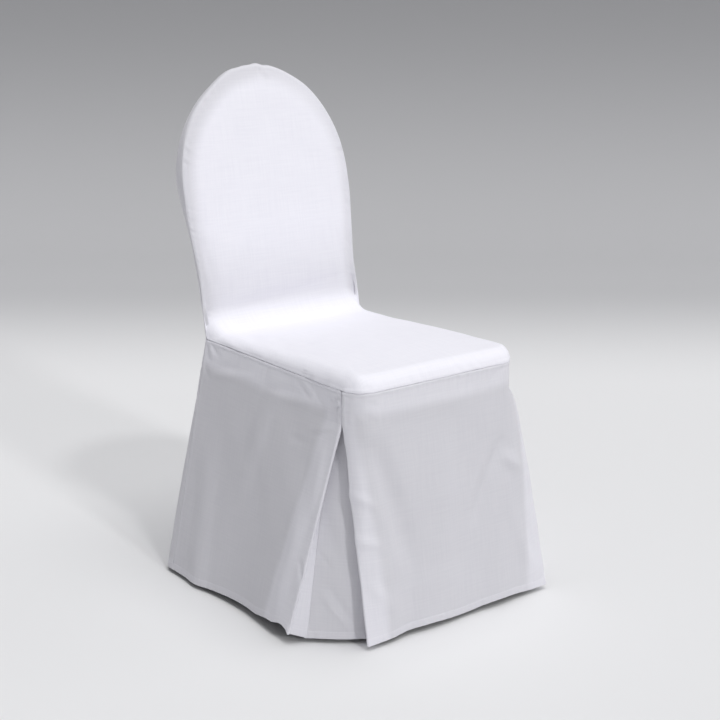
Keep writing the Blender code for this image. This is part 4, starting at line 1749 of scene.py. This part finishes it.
@dataclass
class SideSkirt(FoldedSkirt):
    """The left or the right skirt, its front edge folded under as one side of a front pleat.

    Its face runs from the rear seam (0) to the front fold edge (1). Its creases are placed by y and z.
    """

    side: Side = Side.LEFT
    pleat: Pleat = LEFT_PLEAT
    folds: Sequence[Fold] = LEFT_FOLDS
    lifts: Sequence[Lift] = LEFT_LIFTS
    rim_backing: float = 0.62
    fold_backing: float = 0.46
    doubled_top: float = 38.0 * MM
    doubled_hem: float = 85.0 * MM
    seat_puckers: float = 0.9 * MM
    rear_puckers: float = 0.7 * MM
    columns: int = 100
    rear_columns: int = 6
    creases: Sequence[Crease] = (
        Crease((0.190, 0.412), (0.150, 0.419), (0.105, 0.427), 6.0 * MM, -2.4 * MM),
        Crease((0.195, 0.395), (0.125, 0.406), (0.050, 0.421), 6.0 * MM, 2.2 * MM),
        Crease((0.040, 0.410), (-0.020, 0.414), (-0.080, 0.424), 6.5 * MM, -2.4 * MM),
        Crease((-0.010, 0.398), (-0.060, 0.402), (-0.120, 0.414), 7.0 * MM, 1.6 * MM),
        Crease((-0.060, 0.440), (-0.084, 0.430), (-0.110, 0.414), 3.5 * MM, -1.8 * MM),
        Crease((-0.078, 0.442), (-0.102, 0.432), (-0.126, 0.419), 3.5 * MM, 1.5 * MM),
        Crease((-0.100, 0.436), (-0.122, 0.424), (-0.144, 0.408), 4.0 * MM, -1.2 * MM),
        Crease((-0.098, 0.351), (-0.135, 0.362), (-0.172, 0.374), 4.5 * MM, -2.0 * MM),
        Crease((-0.110, 0.362), (-0.142, 0.372), (-0.172, 0.386), 5.0 * MM, 1.4 * MM),
        Crease((-0.060, 0.340), (-0.095, 0.341), (-0.130, 0.347), 6.0 * MM, -1.5 * MM),
        Crease((-0.152, 0.350), (-0.152, 0.290), (-0.146, 0.225), 9.0 * MM, 1.6 * MM),
        Crease((-0.120, 0.330), (-0.124, 0.260), (-0.118, 0.190), 14.0 * MM, -1.4 * MM),
        Crease((-0.150, 0.434), (-0.168, 0.421), (-0.183, 0.402), 3.0 * MM, -1.6 * MM),
        Crease((-0.160, 0.438), (-0.176, 0.432), (-0.184, 0.424), 3.0 * MM, 1.5 * MM),
        Crease((0.218, 0.449), (0.211, 0.434), (0.196, 0.418), 3.0 * MM, -3.2 * MM),
        Crease((0.208, 0.452), (0.200, 0.438), (0.184, 0.425), 3.5 * MM, 2.4 * MM),
        Crease((0.198, 0.450), (0.186, 0.440), (0.164, 0.432), 3.5 * MM, -2.0 * MM),
        Crease((0.216, 0.410), (0.206, 0.396), (0.190, 0.386), 5.0 * MM, -1.6 * MM),
        Crease((-0.136, 0.150), (-0.146, 0.132), (-0.150, 0.112), 5.0 * MM, -2.6 * MM),
        Crease((0.100, 0.340), (0.080, 0.220), (0.110, 0.080), 30.0 * MM, 1.0 * MM),
        Crease((0.010, 0.300), (0.000, 0.180), (-0.020, 0.060), 32.0 * MM, -1.2 * MM),
    )

    @property
    def fold_column(self) -> int:
        """The column of the fold edge."""
        return self.rear_columns + self.columns + self.fold_columns

    def face(self, along: np.ndarray, down: np.ndarray) -> tuple[np.ndarray, np.ndarray, np.ndarray]:
        """x, y and z on the face, with its soft folds."""
        cut = self.cut
        fold = self.pleat.side_fold
        top_y = blend(cut.pocket_foot_y - cut.rear_seam_gap, cut.corner_seam_y + cut.corner_seam_gap, along)
        hem_x = blend(cut.rear_half_hem, abs(fold.x), along)
        hem_y = blend(cut.rear_edge_hem_y - cut.rear_seam_gap, fold.y, along)
        hem = (hem_x, hem_y, hem_height(cut, self.lifts, along))
        near_fold = smooth(1.0 - (1.0 - along) / cut.side_follows_pleat)
        x, y, z = self.hung((cut.seat_half(top_y), top_y), hem, near_fold, self.pleat.side_spring, down)
        return self.side.value * (x + folded_out(self.folds, along, down)), y, z

    def surface(self) -> np.ndarray:
        """The plain surface, from the rear seam to the underlay's seam."""
        down = self.down_places()
        length = abs(self.pleat.side_fold.y - self.cut.rear_edge_hem_y)
        last = 1.0 - self.cut.fold_radius / length
        rear_steps = [self.seam_step] * self.rear_columns
        fold_steps = [self.fold_step] * self.fold_columns
        along = spaced(self.columns, length, rear_steps, fold_steps)[None, :] * last
        face = np.stack(np.broadcast_arrays(*self.face(along, down)), axis=2)
        seam = (self.cut.side_seam_top, self.pleat.side_seam)
        return np.concatenate([face, self.folded_under(1.0, self.side, seam, -self.side.value, down)], axis=1)

    def middle_column(self, columns: int) -> int:
        """Distances across are measured from the rear seam."""
        return 0

    def outward(self) -> np.ndarray:
        """To the side."""
        return np.array([self.side.value, 0.0, 0.2])

    def sewn(self, rows: int, columns: int) -> Optional[SewnLine]:
        """Up the rear edge and along the top of the face."""
        return SewnLine.through([(rows - 1, 0), (0, 0), (0, columns - self.folded_columns - 1)])

    def relief(self, points: np.ndarray, across: np.ndarray, down: np.ndarray) -> np.ndarray:
        """The puckers beside the seat seam and the rear one, the topstitching and the creases."""
        y, z = points[:, :, 1], points[:, :, 2]
        seat = self.seam_relief(down, across, self.seat_puckers, self.seed) + ridged(TOPSTITCHED_EDGE, down)
        rear = self.seam_relief(across, down, self.rear_puckers, self.seed + REAR_DRAW)
        corner = self.corner_relief(z, np.maximum(self.from_fold(across), 0.0))
        beyond = np.arange(points.shape[1]) - self.fold_column
        return self.on_face(beyond) * (seat + rear + corner + creased(self.creases, y, z))

    def from_fold(self, across: np.ndarray) -> np.ndarray:
        """Metres from the fold edge, below 0 behind it."""
        return across[:, self.fold_column : self.fold_column + 1] - across


@dataclass
class FrontSkirt(FoldedSkirt):
    """The front skirt, both its ends folded under at the two front pleats.

    Its face runs from the left fold edge (0) to the right one (1). Its creases are placed by x and z.
    """

    columns: int = 124
    creases: Sequence[Crease] = (
        Crease((-0.186, 0.415), (-0.020, 0.404), (0.172, 0.412), 15.0 * MM, 2.4 * MM),
        Crease((-0.131, 0.445), (-0.131, 0.405), (-0.132, 0.365), 2.0 * MM, -0.6 * MM),
        Crease((-0.160, 0.370), (-0.122, 0.285), (-0.060, 0.090), 22.0 * MM, -9.0 * MM),
        Crease((-0.188, 0.274), (-0.165, 0.264), (-0.140, 0.240), 8.0 * MM, 3.2 * MM),
        Crease((-0.184, 0.194), (-0.160, 0.188), (-0.130, 0.174), 9.0 * MM, 3.0 * MM),
        Crease((-0.176, 0.330), (-0.170, 0.230), (-0.176, 0.120), 10.0 * MM, 3.6 * MM),
        Crease((-0.165, 0.130), (-0.140, 0.090), (-0.100, 0.050), 12.0 * MM, 2.0 * MM),
        Crease((0.150, 0.315), (0.104, 0.250), (0.066, 0.160), 12.0 * MM, -6.0 * MM),
        Crease((0.142, 0.285), (0.164, 0.265), (0.192, 0.245), 12.0 * MM, 5.0 * MM),
        Crease((0.155, 0.245), (0.160, 0.190), (0.176, 0.130), 14.0 * MM, 2.0 * MM),
        Crease((0.150, 0.446), (0.124, 0.430), (0.096, 0.408), 5.0 * MM, -1.3 * MM),
        Crease((0.158, 0.436), (0.146, 0.420), (0.128, 0.400), 5.0 * MM, 1.0 * MM),
        Crease((0.170, 0.160), (0.198, 0.090), (0.226, 0.024), 16.0 * MM, 3.0 * MM),
        Crease((0.206, 0.160), (0.214, 0.100), (0.226, 0.060), 9.0 * MM, -1.4 * MM),
        Crease((0.252, 0.032), (0.240, 0.024), (0.227, 0.010), 3.0 * MM, -1.6 * MM),
        Crease((-0.020, 0.360), (0.010, 0.250), (0.000, 0.120), 34.0 * MM, 3.0 * MM),
        Crease((-0.170, 0.432), (-0.152, 0.428), (-0.136, 0.420), 3.5 * MM, -1.6 * MM),
        Crease((-0.170, 0.410), (-0.154, 0.402), (-0.142, 0.398), 4.0 * MM, -1.6 * MM),
    )

    def seam_line(self, along: np.ndarray) -> tuple[np.ndarray, np.ndarray]:
        """The front seam, round both corners.

        Args:
            along: places from the left corner (0) to the right one (1).

        Returns:
            x and y at each place.
        """
        cut = self.cut
        straight = cut.seat_half_front - cut.seat_corner
        corner = math.pi / 2.0 * cut.seat_corner
        travelled = (along - 0.5) * 2.0 * (straight + corner - cut.corner_seam_gap)
        past = np.clip(np.abs(travelled) - straight, 0.0, None)
        angle = past / cut.seat_corner
        x = np.sign(travelled) * (np.minimum(np.abs(travelled), straight) + cut.seat_corner * np.sin(angle))
        y = cut.seat_front_y + cut.seat_corner * (1.0 - np.cos(angle))
        return x, y

    def face(self, along: np.ndarray, down: np.ndarray) -> tuple[np.ndarray, np.ndarray, np.ndarray]:
        """x, y and z on the face, with its soft folds."""
        cut = self.cut
        left, right = LEFT_PLEAT.front_fold, RIGHT_PLEAT.front_fold
        hem_z = hem_height(cut, FRONT_LIFTS, along)
        hem = (blend(left.x, right.x, along), blend(left.y, right.y, along), hem_z)
        near_fold = smooth(1.0 - (0.5 - np.abs(along - 0.5)) / cut.front_follows_pleat)
        spring = np.where(along < 0.5, LEFT_PLEAT.front_spring, RIGHT_PLEAT.front_spring)
        x, y, z = self.hung(self.seam_line(along), hem, near_fold, spring, down)
        return x, y - folded_out(FRONT_FOLDS, along, down), z

    def surface(self) -> np.ndarray:
        """The plain surface, from the left underlay's seam to the right one's."""
        down = self.down_places()
        length = RIGHT_PLEAT.front_fold.x - LEFT_PLEAT.front_fold.x
        trim = self.cut.fold_radius / length
        steps = [self.fold_step] * self.fold_columns
        along = blend(trim, 1.0 - trim, spaced(self.columns, length, steps, steps))[None, :]
        face = np.stack(np.broadcast_arrays(*self.face(along, down)), axis=2)
        left, right = (
            self.folded_under(end, side, (self.cut.front_seam_top, pleat.front_seam), side.value, down)
            for end, side, pleat in ((0.0, Side.LEFT, LEFT_PLEAT), (1.0, Side.RIGHT, RIGHT_PLEAT))
        )
        return np.concatenate([left[:, ::-1], face, right], axis=1)

    def outward(self) -> np.ndarray:
        """To the front."""
        return np.array([0.0, -1.0, 0.1])

    def sewn(self, rows: int, columns: int) -> Optional[SewnLine]:
        """Along the top of the face."""
        return SewnLine.through([(0, self.folded_columns), (0, columns - self.folded_columns - 1)])

    def relief(self, points: np.ndarray, across: np.ndarray, down: np.ndarray) -> np.ndarray:
        """The puckers below the seat seam, and the creases."""
        x, z = points[:, :, 0], points[:, :, 2]
        seat = self.seam_relief(down, across, self.seat_puckers, self.seed) + ridged(SEAT_EDGE_ROLL, down)
        corners = self.corner_relief(z, self.from_fold(across))
        column = np.arange(points.shape[1])
        beyond = self.folded_columns - np.minimum(column, column[::-1])
        return self.on_face(beyond) * (seat + corners + creased(self.creases, x, z))

    def from_fold(self, across: np.ndarray) -> np.ndarray:
        """Metres from the nearer fold edge."""
        ends = (self.folded_columns, across.shape[1] - 1 - self.folded_columns)
        return np.minimum(*(np.abs(across - across[:, end : end + 1]) for end in ends))


@dataclass
class PleatUnderlay(Skirt):
    """The underlay that shows inside a front pleat where it opens.

    Its sides lie behind the seams of the two skirts beside it. Its creases are placed by |x| and z.
    """

    side: Side = Side.LEFT
    pleat: Pleat = LEFT_PLEAT
    columns: int = 48
    behind: float = 1.4 * MM
    overlap: float = 4.0 * MM
    creases: Sequence[Crease] = (
        Crease((0.213, 0.098), (0.197, 0.058), (0.176, 0.022), 4.5 * MM, 1.6 * MM),
        Crease((0.204, 0.110), (0.188, 0.070), (0.168, 0.030), 5.0 * MM, -1.2 * MM),
        Crease((0.217, 0.180), (0.206, 0.155), (0.194, 0.128), 4.0 * MM, -1.0 * MM),
        Crease((0.196, 0.300), (0.197, 0.225), (0.190, 0.150), 7.0 * MM, -1.4 * MM),
    )

    def surface(self) -> np.ndarray:
        """The plain surface, from its seam behind the side skirt to its seam behind the front skirt."""
        cut = self.cut
        z = cut.skirt_z(self.down_places()[:, 0], cut.seam_front_z, cut.hem_z)
        opening = cut.pleat_opening(z)
        start = self.pleat_seam(cut.side_seam_top, self.pleat.side_seam, self.side, opening)
        end = self.pleat_seam(cut.front_seam_top, self.pleat.front_seam, self.side, opening)
        way = normalised(end - start)
        inside = np.stack([-way[:, 1], way[:, 0]], axis=1) * -self.side.value
        start = start - way * self.overlap
        end = end + way * self.overlap
        across = np.linspace(0.0, 1.0, self.columns + 1)[None, :, None]
        bowed = self.pleat.bow * opening[:, None, None] * hump(2.0 * across - 1.0)
        plan = blend(start[:, None], end[:, None], across) + inside[:, None] * (self.behind - bowed)
        height = np.broadcast_to(z[:, None, None], plan.shape[:2] + (1,))
        return np.concatenate([plan, height], axis=2)

    def outward(self) -> np.ndarray:
        """Out of the corner."""
        return np.array([self.side.value, -0.8, 0.0])

    def relief(self, points: np.ndarray, across: np.ndarray, down: np.ndarray) -> np.ndarray:
        """The creases."""
        return creased(self.creases, np.abs(points[:, :, 0]), points[:, :, 2])


@dataclass(frozen=True)
class Lamp:
    """A far lamp: the way to it, how wide it looks in degrees, and its watts on each square metre."""

    name: str
    towards: tuple[float, float, float]
    spread: float
    strength: float


@dataclass
class Studio:
    """A pale sweep with painted shade on its far part and its backdrop, soft light, and the camera.

    The key lamp is high in front, a broad one hangs overhead, and the room's own light comes evenly from all
    round. The sweep runs from behind the camera to far behind the cover, where it curves up into a backdrop.
    """

    cut: CoverCut
    heading: float = math.radians(-38.76)
    pitch: float = math.radians(14.85)
    lens: float = 71.24
    sensor: float = 36.0
    eye: tuple[float, float, float] = (-1.559, -1.949, 1.092)
    sweep_near: float = -30.0
    sweep_far: float = 3.2
    sweep_radius: float = 1.2
    sweep_steps: int = 16
    sweep_top: float = 4.5
    sweep_half_width: float = 30.0
    room: str = "#F4F5F8"
    room_strength: float = 0.34
    lamps: tuple[Lamp, ...] = (
        Lamp("key", (-0.043, -0.617, 0.786), 5.0, 0.42),
        Lamp("overhead", (0.08, -0.08, 1.0), 42.0, 1.38),
        Lamp("front", (-0.02, -0.92, 0.39), 6.0, 0.60),
        Lamp("front_right", (0.85, -0.50, 0.25), 45.0, 0.34),
    )

    def camera(self) -> None:
        """The camera, where the photograph was taken from."""
        lens = bpy.data.cameras.new("camera")
        lens.lens = self.lens
        lens.sensor_width = self.sensor
        camera = placed("camera", lens)
        camera.location = Vector(self.eye) - Vector(self.cut.hold)
        camera.rotation_euler = (math.pi / 2.0 - self.pitch, 0.0, self.heading)
        bpy.context.scene.camera = camera
        bpy.context.scene.view_settings.view_transform = "Standard"

    def sweep(self) -> None:
        """The floor and, far behind, the same paper curving up into a backdrop."""
        profile = [(self.sweep_near, 0.0), (self.sweep_far, 0.0)]
        for angle in np.linspace(0.0, math.pi / 2.0, self.sweep_steps + 1)[1:].tolist():
            y = self.sweep_far + self.sweep_radius * math.sin(angle)
            profile.append((y, self.sweep_radius * (1.0 - math.cos(angle))))
        profile.append((self.sweep_far + self.sweep_radius, self.sweep_top))
        points = [(side.value * self.sweep_half_width, y, z) for y, z in profile for side in Side]
        strips = [(k, k + 1, k + 3, k + 2) for k in range(0, len(points) - 2, 2)]
        mesh = bpy.data.meshes.new("studio_sweep")
        mesh.from_pydata(points, [], strips)
        mesh.shade_smooth()
        mesh.materials.append(StudioPaper().material())
        sweep = placed("studio_sweep", mesh)
        floor = Matrix.Translation(Vector(-self.cut.hold))
        sweep.matrix_world = floor @ Matrix.Rotation(self.heading, 4, "Z")

    def lights(self) -> None:
        """The lamps and the light of the room."""
        for lamp in self.lamps:
            sun = bpy.data.lights.new(lamp.name, "SUN")
            sun.angle = math.radians(lamp.spread)
            sun.energy = lamp.strength
            placed(lamp.name, sun).rotation_euler = Vector(lamp.towards).to_track_quat("Z", "Y").to_euler()
        world = bpy.data.worlds.new("studio")
        world.use_nodes = True
        background = world.node_tree.nodes["Background"]
        background.inputs["Color"].default_value = to_linear(self.room)
        background.inputs["Strength"].default_value = self.room_strength
        bpy.context.scene.world = world

    def build(self) -> None:
        """Sets the camera, the sweep and the lights."""
        self.camera()
        self.sweep()
        self.lights()


def main() -> None:
    """Builds the studio and the cover, and reports each piece."""
    logging.basicConfig(level=logging.INFO, format="%(name)s: %(message)s")
    cut = CoverCut()
    Studio(cut).build()
    sewn = (cut, WovenPolyester().material(), PolyesterThread().material())
    right = {"side": Side.RIGHT, "pleat": RIGHT_PLEAT}
    panels = [
        InsidePanel("inside_back_and_seat", *sewn, seed=3),
        OutsidePanel("outside_back", *sewn, seed=11),
        FrontSkirt("front_skirt", *sewn, seed=23),
        SideSkirt("left_skirt", *sewn, seed=37),
        SideSkirt("right_skirt", *sewn, seed=41, folds=RIGHT_FOLDS, lifts=RIGHT_LIFTS, **right),
        PleatUnderlay("left_pleat_underlay", *sewn, seed=53),
        PleatUnderlay("right_pleat_underlay", *sewn, seed=59, **right),
    ]
    for panel in panels:
        for piece in panel.build():
            LOG.info("%s: %d faces", piece.name, len(piece.data.polygons))


if __name__ == "__main__":
    main()
